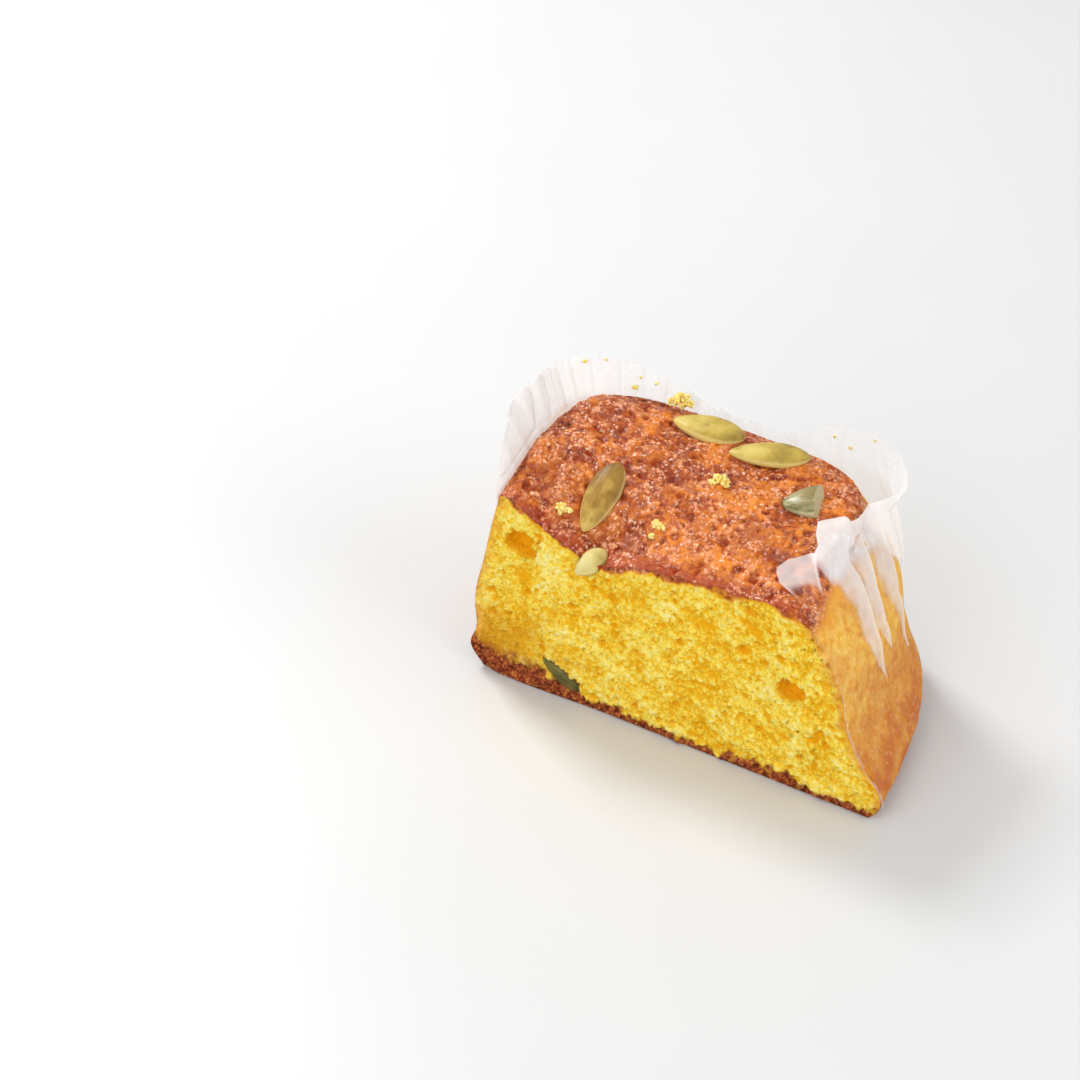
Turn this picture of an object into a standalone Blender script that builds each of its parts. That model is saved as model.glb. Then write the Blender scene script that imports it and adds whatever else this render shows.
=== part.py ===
"""Half of a small pumpkin pound cake, cut upright through the middle, in its pleated paper case.

The cut face looks along -Y, the pleated ends of the case lie at -X and +X, and the part rests on
the flat underside of the paper at z = 0. Every size and place below is in millimetres, measured
from the middle of the cut's lower edge; make_object turns them into metres from the part's origin.
"""
import math

import bmesh
import bpy
import numpy as np
from mathutils import Matrix, Vector

MM = 0.001

# The part's origin, below the middle of the whole, as seen from the middle of the cut's lower edge
ORIGIN = (-2.05, 21.35, 0.0)

# Paper
PAPER = 0.4
PAPER_GAP = 0.5
FLOOR_GAP = 0.35
CAKE_LIFT = PAPER + FLOOR_GAP

# Cake: the cut face's left and right edges as (height, place) and its upper edge as (place, height)
LEFT_EDGE = [(0, -36.6), (1.6, -38.4), (7.5, -37.9), (13, -38.1), (22, -36.4), (33, -34.0), (40, -32.4)]
RIGHT_EDGE = [(0, 33.8), (1.8, 35.4), (5.2, 35.0), (9.6, 31.6), (14, 29.2), (23.4, 26.6), (30.1, 22.6),
              (34, 19.4), (40, 16)]
CUT_TOP = [(-36, 36.8), (-32.9, 36.4), (-26.9, 33.0), (-19.5, 30.2), (-13.3, 29.8), (-8, 31.4),
           (3.7, 32.8), (16.6, 33.7), (21, 33.2), (36, 33)]
BACK_HEIGHT = 36.8
BACK_SLOPE = -0.06
FRONT_DIP_LENGTH = 13.0
# Where the top has sunk round a seed: place, reach and depth
BEDS = [((-20.2, 9.6), 4.5, 1.4), ((-17.0, 0.6), 2.6, 1.3)]
FORM_HEIGHT = 35.0
DEPTH_LOW = 44.0
DEPTH_HIGH = 35.4
FOOT_UNDERCUT = 2.2
FOOT_HEIGHT = 1.5
RIM_ROUND = 1.3
RIM_ROUND_LENGTH = 3.0

# How square the plan's two back corners are, low and high
RIGHT_POWER = (2.3, 6.5)
LEFT_POWER = (3.0, 4.1)
LEAN_LOW = -0.04
LEAN_HIGH = -0.136
BULGE_LOW = -1.0
BULGE_HIGH = 2.0
BACK_TURN = 0.04
# How fast the form changes from its right side to its left one
SIDE_CHANGE = 4.0

# Mesh rows: along the cut, from front to back, and from the base to the rim
COLUMNS = 36
DEPTH_ROWS = 19
HEIGHT_ROWS = 18
BACK_CORNER = math.radians(50)
SHARP_ANGLE = math.radians(50)

# Rounds of the search for the height where the wall or the cut meets the top
SETTLE_ROUNDS = 8

# Relief: the size of its lumps and how much of each surface's relief they make
CRUMB_RELIEF = 0.6
TOP_RELIEF = 0.9
SKIN_RELIEF = 0.12
COARSE_LUMP = 4.2
FINE_LUMP = 1.7
PIT = 2.3
CRUMB_SHARES = (0.45, 0.75)
TOP_SHARES = (0.55, 0.8)
TOP_RISE = 0.2

# Air holes that show in the cut face: place, height, radii, and how far the centre lies behind it
AIR_HOLES = [
    ("air_hole_left", (-29.9, 27.1), (2.7, 2.4, 2.5), 0.5),
    ("air_hole_right", (19.2, 18.3), (2.6, 2.8, 1.7), 0.8),
]
HOLE_UNEVENNESS = 0.16
HOLE_LUMP = 0.8

# Paper wall from the right end of the cut round the back to the left end: share of the way, rise
# above the rim, lean outwards (inwards where negative), and how far below the rim it comes free
PAPER_EDGE = [
    (0.00, 0.5, 0.4, 0), (0.035, 1.0, -4.0, 0), (0.06, 1.2, -8.0, 0), (0.08, 1.4, -9.6, 0),
    (0.12, 2.2, -5.2, 0), (0.16, 2.6, -5.6, 0), (0.185, 3.0, -1.0, 1), (0.225, 3.6, 0.6, 8),
    (0.25, 3.2, 6.6, 15), (0.28, 4.4, 7.2, 16), (0.32, 5.2, 5.2, 14), (0.365, 3.6, 1.6, 8),
    (0.40, 1.6, 0.6, 3), (0.47, 1.4, 0.6, 2), (0.53, 1.8, 0.7, 2), (0.60, 3.5, 1.2, 1),
    (0.69, 6.3, 1.6, 2), (0.74, 6.4, 4.0, 5), (0.80, 7.6, 3.2, 3), (0.84, 6.6, 4.4, 2),
    (0.92, 5.0, 2.0, 1), (0.97, 3.2, 1.2, 0), (1.00, 1.0, 0.4, 0),
]
PAPER_WALL_SHARES = (0, 0.028, 0.056, 0.11, 0.17, 0.25, 0.37, 0.5, 0.63, 0.76, 0.88, 1)
PAPER_FREE_ROWS = 3
FREE_CURVE = 1.3
# A flap that leans this far inwards clears the rim in full, this far up its free part
FLAP_CLEARANCE = 2.6
FLAP_LEAN = 2.0
FLAP_START = 0.45
# Pleats: how far they stand out and up, their folds, and the ends of the wall that have them
PLEAT_DEPTH = 0.9
PLEAT_STEP = 0.7
PLEAT_FOLDS = (0.0, 1.0, 0.1, -1.0)
PLEATED_ENDS = ((0.02, 0.36), (0.68, 0.98))
PLEAT_FADE = 0.03

# Whole pumpkin seeds on the top: name, pointed end, blunt end, width, thickness, share sunk
SEEDS = [
    ("seed_back_left", (-18.9, 29.7), (-6.8, 31.8), 6.6, 2.5, 0.30),
    ("seed_back_right", (-7.2, 27.0), (4.3, 33.4), 6.0, 2.5, 0.26),
    ("seed_front", (-20.1, 3.4), (-20.3, 14.9), 5.6, 2.6, 0.22),
]
# Cut pieces of seed: name, two ends, the way the broad side faces, size along, across and through
SEED_PIECES = [
    ("seed_piece_top", (5.6, 21.0, 36.3), (15.2, 25.2, 38.0), (0, -0.2, 1), (10.6, 6.8, 2.6)),
    ("seed_piece_edge", (-18.7, -0.9, 26.9), (-15.6, 2.3, 29.9), (0.3, -0.6, 0.7), (6.2, 3.8, 2.2)),
    ("seed_piece_base", (-26.0, 0.9, 5.4), (-18.4, 0.9, 1.3), (0, -1, 0), (8.6, 3.2, 2.6)),
]
# The knife's plane across seed_piece_top, in the seed's own frame: a point and the side taken off
KNIFE = ((0.6, 0, 0), (1, 0, 0))
SEED_GAP = 0.32
SEED_STATIONS = 11
SEED_SIDES = 14
# A seed's outline and thickness: the power of its taper and how much fuller its blunt end is
SEED_BROAD = (0.62, 0.2)
SEED_THICK = (0.5, 0.1)
SEED_EDGE_POWER = 0.9


def smooth(x, low, high):
    """Soft step from 0 at low to 1 at high."""
    t = np.clip((x - low) / (high - low), 0, 1)
    return t * t * (3 - 2 * t)


def through(points, x):
    """Value at x of the smooth curve through a short list of (x, y) points."""
    px, py = np.array(points, float).T
    slope = np.gradient(py, px)
    x = np.clip(np.asarray(x, float), px[0], px[-1])
    i = np.clip(np.searchsorted(px, x) - 1, 0, len(px) - 2)
    span = px[i + 1] - px[i]
    t = (x - px[i]) / span
    start = 2 * t**3 - 3 * t**2 + 1
    value = start * py[i] + (1 - start) * py[i + 1]
    return value + span * ((t**3 - 2 * t**2 + t) * slope[i] + (t**3 - t**2) * slope[i + 1])


def noise(points, size, seed):
    """Smooth random field between -1 and 1 whose lumps are about size across."""
    grid = points / size
    cell = np.floor(grid).astype(np.int64)
    part = grid - cell
    part = part * part * (3 - 2 * part)
    total = np.zeros(len(points))
    for corner in np.ndindex(2, 2, 2):
        x, y, z = (cell + corner).T
        mixed = (x * 73856093) ^ (y * 19349663) ^ (z * 83492791) ^ (seed * 2654435761)
        mixed = (mixed ^ (mixed >> 13)) * 1274126177
        value = ((mixed ^ (mixed >> 16)) & 0xffff) / 32767.5 - 1
        total += value * np.prod(np.where(corner, part, 1 - part), axis=1)
    return total


def top_height(u, v):
    """Height of the baked top: it falls towards the cut, unevenly along it, and round some seeds."""
    cut = through(CUT_TOP, u)
    back = BACK_HEIGHT + BACK_SLOPE * u
    height = cut + (back - cut) * smooth(v, 0, FRONT_DIP_LENGTH)
    for (bed_u, bed_v), reach, depth in BEDS:
        height = height - depth * np.exp(-((u - bed_u) ** 2 + (v - bed_v) ** 2) / reach**2)
    return height


def outline(z, angle):
    """Plan of the cake's skin behind the cut at height z, from angle 0 (right) to pi (left)."""
    k = np.clip(z / FORM_HEIGHT, 0, 1)
    left = through(LEFT_EDGE, z)
    right = through(RIGHT_EDGE, z)
    middle = (left + right) / 2
    half = (right - left) / 2
    depth = DEPTH_LOW + (DEPTH_HIGH - DEPTH_LOW) * k - FOOT_UNDERCUT * np.exp(-z / FOOT_HEIGHT)
    c = np.cos(angle)
    s = np.sin(angle)
    rightness = 0.5 * (1 + np.tanh(SIDE_CHANGE * c))
    right_power = RIGHT_POWER[0] + (RIGHT_POWER[1] - RIGHT_POWER[0]) * k
    left_power = LEFT_POWER[0] + (LEFT_POWER[1] - LEFT_POWER[0]) * k
    power = right_power * rightness + left_power * (1 - rightness)
    radius = (np.abs(c / half) ** power + np.abs(s / depth) ** power) ** (-1 / power)
    u = middle + radius * c
    v = radius * s
    bulge = (BULGE_LOW + (BULGE_HIGH - BULGE_LOW) * k) * np.sin(np.pi * np.clip(v / depth, 0, 1))
    lean = LEAN_LOW + (LEAN_HIGH - LEAN_LOW) * k
    return u + lean * v + bulge * rightness, v * (1 + BACK_TURN * (u - middle) / half)


def rim_height(angle):
    """Height where the skin at this angle meets the top."""
    z = np.full_like(angle, FORM_HEIGHT)
    for _ in range(SETTLE_ROUNDS):
        u, v = outline(z, angle)
        z = top_height(u, v) - RIM_ROUND
    return z


def wall_angles():
    """Angles of the wall's columns: up the right side, along the back and down the left side."""
    right = np.linspace(0, BACK_CORNER, DEPTH_ROWS + 1)
    back = np.linspace(BACK_CORNER, math.pi - BACK_CORNER, COLUMNS + 1)
    left = np.linspace(math.pi - BACK_CORNER, math.pi, DEPTH_ROWS + 1)
    return np.concatenate([right, back[1:], left[1:]])


def skin_point(angle, share):
    """Point on the skin at a share of the way up to the rim."""
    z = share * rim_height(angle)
    u, v = outline(z, angle)
    return np.stack([u, v, z], axis=-1)


def cut_point(across, share):
    """Point on the cut face, across from its left end and at a share of the way up."""
    top = np.full_like(across, FORM_HEIGHT)
    for _ in range(SETTLE_ROUNDS):
        left = through(LEFT_EDGE, top)
        right = through(RIGHT_EDGE, top)
        u = left + (right - left) * across
        edge = np.minimum(across, 1 - across) * (right - left)
        top = top_height(u, 0 * u) - RIM_ROUND * (1 - smooth(edge, 0, RIM_ROUND_LENGTH))
    z = share * top
    left = through(LEFT_EDGE, z)
    right = through(RIGHT_EDGE, z)
    return np.stack([left + (right - left) * across, 0 * z, z], axis=-1)


def top_patch(front, right, back, left):
    """Grid of points that fills the four edge curves, each a row of points."""
    a = np.linspace(0, 1, len(front))[:, None, None]
    b = np.linspace(0, 1, len(left))[None, :, None]
    sides = (1 - b) * front[:, None] + b * back[:, None] + (1 - a) * left[None] + a * right[None]
    corners = (1 - a) * (1 - b) * front[0] + a * (1 - b) * front[-1]
    corners = corners + (1 - a) * b * back[0] + a * b * back[-1]
    grid = sides - corners
    u, v = grid[..., 0], grid[..., 1]
    width = np.linalg.norm(front[-1] - front[0])
    depth = np.linalg.norm(back[0] - front[0])
    edge = np.minimum(np.minimum(a, 1 - a) * width, (1 - b) * depth)[..., 0]
    grid[..., 2] = top_height(u, v) - RIM_ROUND * (1 - smooth(edge, 0, RIM_ROUND_LENGTH))
    return grid


def bridge(faces, lower, upper):
    """Quads between two rings of vertex numbers."""
    for i in range(len(lower) - 1):
        faces.append((lower[i], lower[i + 1], upper[i + 1], upper[i]))


def cake_mesh():
    """Points and faces of the cake's smooth form, with each point's surface name."""
    angles = wall_angles()
    across = np.linspace(0, 1, COLUMNS + 1)[1:-1]
    points = []
    kinds = []
    rings = []
    for share in np.linspace(0, 1, HEIGHT_ROWS + 1):
        ring = np.concatenate([skin_point(angles, share), cut_point(across, share)])
        first = len(points)
        points.extend(ring)
        kinds.extend(["skin"] * len(angles) + ["crumb"] * len(across))
        rings.append(list(range(first, len(points))))
    faces = [tuple(reversed(rings[0]))]
    for lower, upper in zip(rings, rings[1:]):
        bridge(faces, lower + lower[:1], upper + upper[:1])
    # The rim ring holds the right side, the back, the left side and the cut, in that order
    rim = rings[-1]
    last = 2 * DEPTH_ROWS + COLUMNS
    right = rim[:DEPTH_ROWS + 1]
    back = rim[DEPTH_ROWS:DEPTH_ROWS + COLUMNS + 1][::-1]
    left = rim[DEPTH_ROWS + COLUMNS:last + 1][::-1]
    front = [rim[last]] + rim[last + 1:] + [rim[0]]
    place = np.array(points)
    grid = top_patch(place[front], place[right], place[back], place[left])
    number = np.zeros(grid.shape[:2], int)
    for i in range(COLUMNS + 1):
        for j in range(DEPTH_ROWS + 1):
            if j == 0:
                number[i, j] = front[i]
            elif j == DEPTH_ROWS:
                number[i, j] = back[i]
            elif i == 0:
                number[i, j] = left[j]
            elif i == COLUMNS:
                number[i, j] = right[j]
            else:
                number[i, j] = len(points)
                points.append(grid[i, j])
                kinds.append("top")
    for i in range(COLUMNS):
        for j in range(DEPTH_ROWS):
            faces.append((number[i, j], number[i + 1, j], number[i + 1, j + 1], number[i, j + 1]))
    return np.array(points), faces, np.array(kinds)


def roughen(mesh, kinds):
    """Push the surfaces in and out: crumb on the cut, pits on the top, faint lumps on the skin."""
    count = len(mesh.vertices)
    place = np.array([v.co for v in mesh.vertices])
    normal = np.array([v.normal for v in mesh.vertices])
    coarse = noise(place, COARSE_LUMP, 3)
    fine = noise(place, FINE_LUMP, 5)
    pits = np.clip(noise(place, PIT, 8), 0, 1)
    push = np.zeros(count)
    crumb = kinds == "crumb"
    top = kinds == "top"
    skin = kinds == "skin"
    push[crumb] = CRUMB_RELIEF * (CRUMB_SHARES[0] * coarse + CRUMB_SHARES[1] * fine)[crumb]
    push[top] = TOP_RELIEF * (TOP_SHARES[0] * coarse - TOP_SHARES[1] * pits + TOP_RISE)[top]
    push[skin] = SKIN_RELIEF * coarse[skin]
    # The base stays flat
    push[place[:, 2] == 0] = 0
    # The crumb moves straight in or out of the cut
    normal[crumb] = (0, -1, 0)
    moved = place + normal * push[:, None]
    for vertex, spot in zip(mesh.vertices, moved):
        vertex.co = spot


def new_material(name, colour, roughness, coat=0.0, transmission=0.0):
    """Principled material with one colour."""
    material = bpy.data.materials.new(name)
    material.use_nodes = True
    shader = material.node_tree.nodes["Principled BSDF"]
    shader.inputs["Base Color"].default_value = (*colour, 1)
    shader.inputs["Roughness"].default_value = roughness
    shader.inputs["Metallic"].default_value = 0.0
    shader.inputs["Coat Weight"].default_value = coat
    shader.inputs["Transmission Weight"].default_value = transmission
    material.diffuse_color = (*colour, 1)
    return material


def make_object(name, points, faces, material, lift=0.0):
    """Object from points in millimetres, moved to the part's own origin."""
    mesh = bpy.data.meshes.new(name)
    place = (np.asarray(points, float) + (0, 0, lift) - np.array(ORIGIN)) * MM
    mesh.from_pydata([tuple(p) for p in place], [], [tuple(int(i) for i in f) for f in faces])
    mesh.materials.append(material)
    mesh.validate()
    mesh.update()
    mesh.shade_smooth()
    mesh.set_sharp_from_angle(angle=SHARP_ANGLE)
    item = bpy.data.objects.new(name, mesh)
    bpy.context.scene.collection.objects.link(item)
    return item


def make_cake(material):
    """The cake: one solid with its cut face, baked top, skin and flat base."""
    points, faces, kinds = cake_mesh()
    form = bpy.data.meshes.new("cake_form")
    form.from_pydata([tuple(p) for p in points], [], faces)
    form.update()
    roughen(form, kinds)
    points = np.array([v.co for v in form.vertices])
    bpy.data.meshes.remove(form)
    return make_object("cake", points, faces, material, lift=CAKE_LIFT)


def seed_form(length, width, thickness):
    """Points and faces of a flat pointed seed along +X, its broad sides facing +Z and -Z."""
    points = [(-length / 2, 0, 0)]
    for i in range(1, SEED_STATIONS):
        s = -math.cos(math.pi * i / SEED_STATIONS)
        # The pointed end is at -X and the blunt one at +X
        broad = width / 2 * (1 - s * s) ** SEED_BROAD[0] * (1 + SEED_BROAD[1] * s)
        thick = thickness / 2 * (1 - s * s) ** SEED_THICK[0] * (1 + SEED_THICK[1] * s)
        for j in range(SEED_SIDES):
            turn = 2 * math.pi * j / SEED_SIDES
            y = broad * math.cos(turn)
            z = thick * math.copysign(abs(math.sin(turn)) ** SEED_EDGE_POWER, math.sin(turn))
            points.append((length / 2 * s, y, z))
    points.append((length / 2, 0, 0))
    faces = []
    for j in range(SEED_SIDES):
        after = (j + 1) % SEED_SIDES
        faces.append((0, 1 + after, 1 + j))
        for i in range(SEED_STATIONS - 2):
            low = 1 + i * SEED_SIDES
            high = low + SEED_SIDES
            faces.append((low + j, low + after, high + after, high + j))
        end = 1 + (SEED_STATIONS - 2) * SEED_SIDES
        faces.append((end + j, end + after, len(points) - 1))
    return np.array(points), faces


def frame_along(start, end, up):
    """Matrix whose X runs from start to end, with Z as near up as it can be, at their middle."""
    along = (end - start).normalized()
    side = up.cross(along).normalized()
    over = along.cross(side)
    turn = Matrix((along, side, over)).transposed().to_4x4()
    turn.translation = (start + end) / 2
    return turn


def top_normal(u, v, step=1.5):
    """Upward normal of the baked top, measured over a step to each side."""
    across = float(top_height(u + step, v) - top_height(u - step, v)) / (2 * step)
    away = float(top_height(u, v + step) - top_height(u, v - step)) / (2 * step)
    return Vector((-across, -away, 1)).normalized()


def seed_places():
    """Each seed's name, frame, size and the knife's plane across it, if there is one."""
    places = []
    for name, tip, blunt, width, thickness, sunk in SEEDS:
        start = Vector((*tip, float(top_height(*tip))))
        end = Vector((*blunt, float(top_height(*blunt))))
        middle = (start + end) / 2
        up = top_normal(middle.x, middle.y)
        turn = frame_along(start, end, up)
        turn.translation = turn.translation + up * (thickness * (0.5 - sunk))
        places.append((name, turn, ((end - start).length, width, thickness), None))
    for name, start, end, facing, size in SEED_PIECES:
        turn = frame_along(Vector(start), Vector(end), Vector(facing).normalized())
        places.append((name, turn, size, KNIFE if name == "seed_piece_top" else None))
    return places


def cut_off(mesh, plane_point, plane_normal):
    """Slice the mesh with a plane and close it with a flat face."""
    work = bmesh.new()
    work.from_mesh(mesh)
    parts = work.verts[:] + work.edges[:] + work.faces[:]
    done = bmesh.ops.bisect_plane(work, geom=parts, plane_co=plane_point, plane_no=plane_normal,
                                  clear_outer=True)
    rim = [e for e in done["geom_cut"] if isinstance(e, bmesh.types.BMEdge)]
    bmesh.ops.contextual_create(work, geom=rim)
    bmesh.ops.recalc_face_normals(work, faces=work.faces[:])
    work.to_mesh(mesh)
    work.free()


def place_seed(name, turn, size, knife, grow, material):
    """One seed, or with grow its larger hollow for the cake."""
    points, faces = seed_form(*(s + 2 * grow for s in size))
    mesh = bpy.data.meshes.new(name)
    mesh.from_pydata([tuple(p) for p in points], [], faces)
    if knife is not None:
        spot, facing = (Vector(part) for part in knife)
        cut_off(mesh, spot + facing.normalized() * grow, facing)
    points = [turn @ v.co for v in mesh.vertices]
    faces = [tuple(p.vertices) for p in mesh.polygons]
    bpy.data.meshes.remove(mesh)
    return make_object(name, points, faces, material, lift=CAKE_LIFT)


def air_hole(name, spot, radii, behind, material):
    """Uneven ball that carves an air hole out of the cut face."""
    work = bmesh.new()
    bmesh.ops.create_icosphere(work, subdivisions=2, radius=1.0)
    points = np.array([v.co for v in work.verts])
    faces = [tuple(v.index for v in f.verts) for f in work.faces]
    work.free()
    points = points * (1 + HOLE_UNEVENNESS * noise(points, HOLE_LUMP, 21))[:, None] * radii
    points = points + (spot[0], behind, spot[1])
    return make_object(name, points, faces, material, lift=CAKE_LIFT)


def pleat(share, column):
    """How far a pleat stands out, from -1 to 1, at the pleated ends alone."""
    wave = np.array(PLEAT_FOLDS)[column % len(PLEAT_FOLDS)]
    weight = np.zeros_like(share)
    for low, high in PLEATED_ENDS:
        inside = smooth(share, low, low + PLEAT_FADE) * (1 - smooth(share, high - PLEAT_FADE, high))
        weight += inside
    return wave * weight


def paper_rows():
    """The paper's inner points, row by row, from the base corner to the upper edge."""
    angles = wall_angles()
    way = np.linspace(0, 1, len(angles))
    ways, rises, leans, drops = np.array(PAPER_EDGE).T
    rise = np.interp(way, ways, rises)
    lean = np.interp(way, ways, leans)
    drop = np.interp(way, ways, drops)
    fold = pleat(way, np.arange(len(angles)))
    rim = rim_height(angles)
    rows = []
    steps = [(up, 0.0) for up in PAPER_WALL_SHARES]
    steps += [(1.0, k / PAPER_FREE_ROWS) for k in range(1, PAPER_FREE_ROWS + 1)]
    for up, free in steps:
        z = rim * up
        u, v = outline(z, angles)
        tangent_u = np.gradient(u)
        tangent_v = np.gradient(v)
        length = np.hypot(tangent_u, tangent_v)
        out_u = tangent_v / length
        out_v = -tangent_u / length
        # The ends of the sheet lie in the knife's plane
        out_v[[0, -1]] = 0
        height = z + rise * free
        loose = np.clip((height - rim + drop) / (rise + drop), 0, 1)
        away = PAPER_GAP + lean * loose ** FREE_CURVE + PLEAT_DEPTH * fold * free
        # A flap that leans inwards clears the cake's rounded rim before it lies over the top
        over = FLAP_CLEARANCE * smooth(-lean, 0, FLAP_LEAN) * smooth(free, 0, FLAP_START)
        height = height + CAKE_LIFT + over + PLEAT_STEP * fold * free
        rows.append(np.stack([u + out_u * away, v + out_v * away, height], axis=-1))
    rows[0][:, 2] = PAPER
    return np.array(rows)


def paper_sheets():
    """The paper's inner points and its outer ones, one paper's thickness off along the normal."""
    inner = paper_rows()
    up = np.gradient(inner, axis=0)
    along = np.gradient(inner, axis=1)
    normal = np.cross(along, up)
    normal[:, [0, -1], 1] = 0
    normal[0, :, 2] = 0
    normal /= np.linalg.norm(normal, axis=-1, keepdims=True)
    outer = inner + PAPER * normal
    outer[0, :, 2] = 0.0
    return inner, outer


def make_paper(material):
    """The paper case: a flat floor and a wall round three sides, open where the knife went."""
    inner, outer = paper_sheets()
    columns = len(inner[0])
    points = []
    faces = []
    numbers = []
    for sheet in (inner, outer):
        rows = []
        for row in sheet:
            rows.append(list(range(len(points), len(points) + columns)))
            points.extend(row)
        numbers.append(rows)
    inside, outside = numbers
    for low, high in zip(outside, outside[1:]):
        bridge(faces, low, high)
    for low, high in zip(inside, inside[1:]):
        bridge(faces, low[::-1], high[::-1])
    bridge(faces, outside[-1], inside[-1])
    for end in (0, -1):
        for k in range(len(inside) - 1):
            side = (inside[k][end], inside[k + 1][end], outside[k + 1][end], outside[k][end])
            faces.append(side if end == -1 else side[::-1])
    # Floor: an upper and a lower flat face, and the front edge between them
    faces.append(tuple(inside[0]))
    faces.append(tuple(outside[0][::-1]))
    faces.append((inside[0][0], inside[0][-1], outside[0][-1], outside[0][0]))
    return make_object("paper_case", points, faces, material)


def main():
    for item in list(bpy.data.objects):
        bpy.data.objects.remove(item)
    crumb = new_material("cake_crumb", (0.80, 0.42, 0.05), 0.7)
    glass_paper = new_material("case_paper", (0.93, 0.90, 0.86), 0.45, transmission=0.3)
    kernel = new_material("seed_green", (0.28, 0.27, 0.08), 0.3, coat=0.4)
    hollow = new_material("hollow", (0.60, 0.20, 0.03), 0.6)
    cake = make_cake(crumb)
    cutters = bpy.data.collections.new("hollows")
    bpy.context.scene.collection.children.link(cutters)
    for name, spot, radii, behind in AIR_HOLES:
        cutters.objects.link(air_hole(name, spot, radii, behind, hollow))
    for name, turn, size, knife in seed_places():
        place_seed(name, turn, size, knife, 0.0, kernel)
        cutters.objects.link(place_seed("hollow_" + name, turn, size, knife, SEED_GAP, hollow))
    for cutter in cutters.objects:
        cutter.hide_render = True
        cutter.display_type = "WIRE"
    carve = cake.modifiers.new("hollows", "BOOLEAN")
    carve.operation = "DIFFERENCE"
    carve.operand_type = "COLLECTION"
    carve.collection = cutters
    carve.solver = "EXACT"
    make_paper(glass_paper)


main()
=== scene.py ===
"""Looks of the half pumpkin pound cake in its paper case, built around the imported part."""
import math

import bmesh
import bpy
import numpy as np
from mathutils import Matrix, Vector


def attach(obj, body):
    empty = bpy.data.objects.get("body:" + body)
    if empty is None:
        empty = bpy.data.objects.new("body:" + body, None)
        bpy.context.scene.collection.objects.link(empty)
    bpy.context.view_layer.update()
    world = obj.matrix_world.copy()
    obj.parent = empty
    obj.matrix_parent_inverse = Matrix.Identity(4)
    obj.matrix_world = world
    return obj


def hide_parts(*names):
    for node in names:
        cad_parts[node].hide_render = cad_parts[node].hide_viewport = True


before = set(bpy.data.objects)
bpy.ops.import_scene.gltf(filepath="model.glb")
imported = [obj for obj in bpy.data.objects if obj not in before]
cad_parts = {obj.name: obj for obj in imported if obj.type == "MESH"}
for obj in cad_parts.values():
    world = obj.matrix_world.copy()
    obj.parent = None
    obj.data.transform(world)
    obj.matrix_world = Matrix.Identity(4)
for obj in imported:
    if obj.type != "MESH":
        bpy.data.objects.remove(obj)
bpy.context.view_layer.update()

MM = 0.001
ORIGIN = np.array((-2.05, 21.35, 0.0))

# The part's form, in millimetres from the middle of the cut's lower edge
PAPER = 0.4
CAKE_LIFT = 0.75
LEFT_EDGE = [(0, -36.6), (1.6, -38.4), (7.5, -37.9), (13, -38.1), (22, -36.4), (33, -34.0), (40, -32.4)]
RIGHT_EDGE = [(0, 33.8), (1.8, 35.4), (5.2, 35.0), (9.6, 31.6), (14, 29.2), (23.4, 26.6), (30.1, 22.6),
              (34, 19.4), (40, 16)]
CUT_TOP = [(-36, 36.8), (-32.9, 36.4), (-26.9, 33.0), (-19.5, 30.2), (-13.3, 29.8), (-8, 31.4),
           (3.7, 32.8), (16.6, 33.7), (21, 33.2), (36, 33)]
BACK_HEIGHT = 36.8
BACK_SLOPE = -0.06
FRONT_DIP_LENGTH = 13.0
# Where the top sinks under a seed: place, reach, depth
BEDS = [((-20.2, 9.6), 4.5, 1.4), ((-17.0, 0.6), 2.6, 1.3)]
FORM_HEIGHT = 35.0
DEPTH_LOW = 44.0
DEPTH_HIGH = 35.4
FOOT_UNDERCUT = 2.2
FOOT_HEIGHT = 1.5
RIM_ROUND = 1.3
RIM_ROUND_LENGTH = 3.0
RIGHT_POWER = (2.3, 6.5)
LEFT_POWER = (3.0, 4.1)
LEAN_LOW = -0.04
LEAN_HIGH = -0.136
BULGE_LOW = -1.0
BULGE_HIGH = 2.0
BACK_TURN = 0.04
SIDE_CHANGE = 4.0
BACK_CORNER = math.radians(50)
SETTLE_ROUNDS = 8

# Air holes and shallow torn hollows in the cut: place, half sizes, depth, turn in degrees
AIR_HOLES = [((-29.9, 27.1), (2.9, 2.5), 2.6, 0), ((19.2, 18.3), (2.8, 1.8), 2.4, 0)]
TORN = [((11.5, 27.5), (3.0, 1.2), 0.9, -25), ((4.0, 24.6), (1.8, 1.3), 0.8, 0),
        ((10.6, 22.6), (1.5, 1.2), 0.9, 0), ((-29.5, 20.5), (1.8, 2.4), 0.8, 20),
        ((-13.5, 23.5), (2.2, 0.8), 0.6, -20), ((24.5, 22.0), (1.3, 0.8), 0.8, 0),
        ((24.0, 11.0), (1.6, 1.1), 0.7, 30), ((-2.5, 15.5), (1.6, 0.9), 0.5, -30),
        ((-24.0, 15.5), (1.4, 1.0), 0.6, 0), ((13.0, 10.0), (1.2, 0.7), 0.5, -20)]

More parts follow.
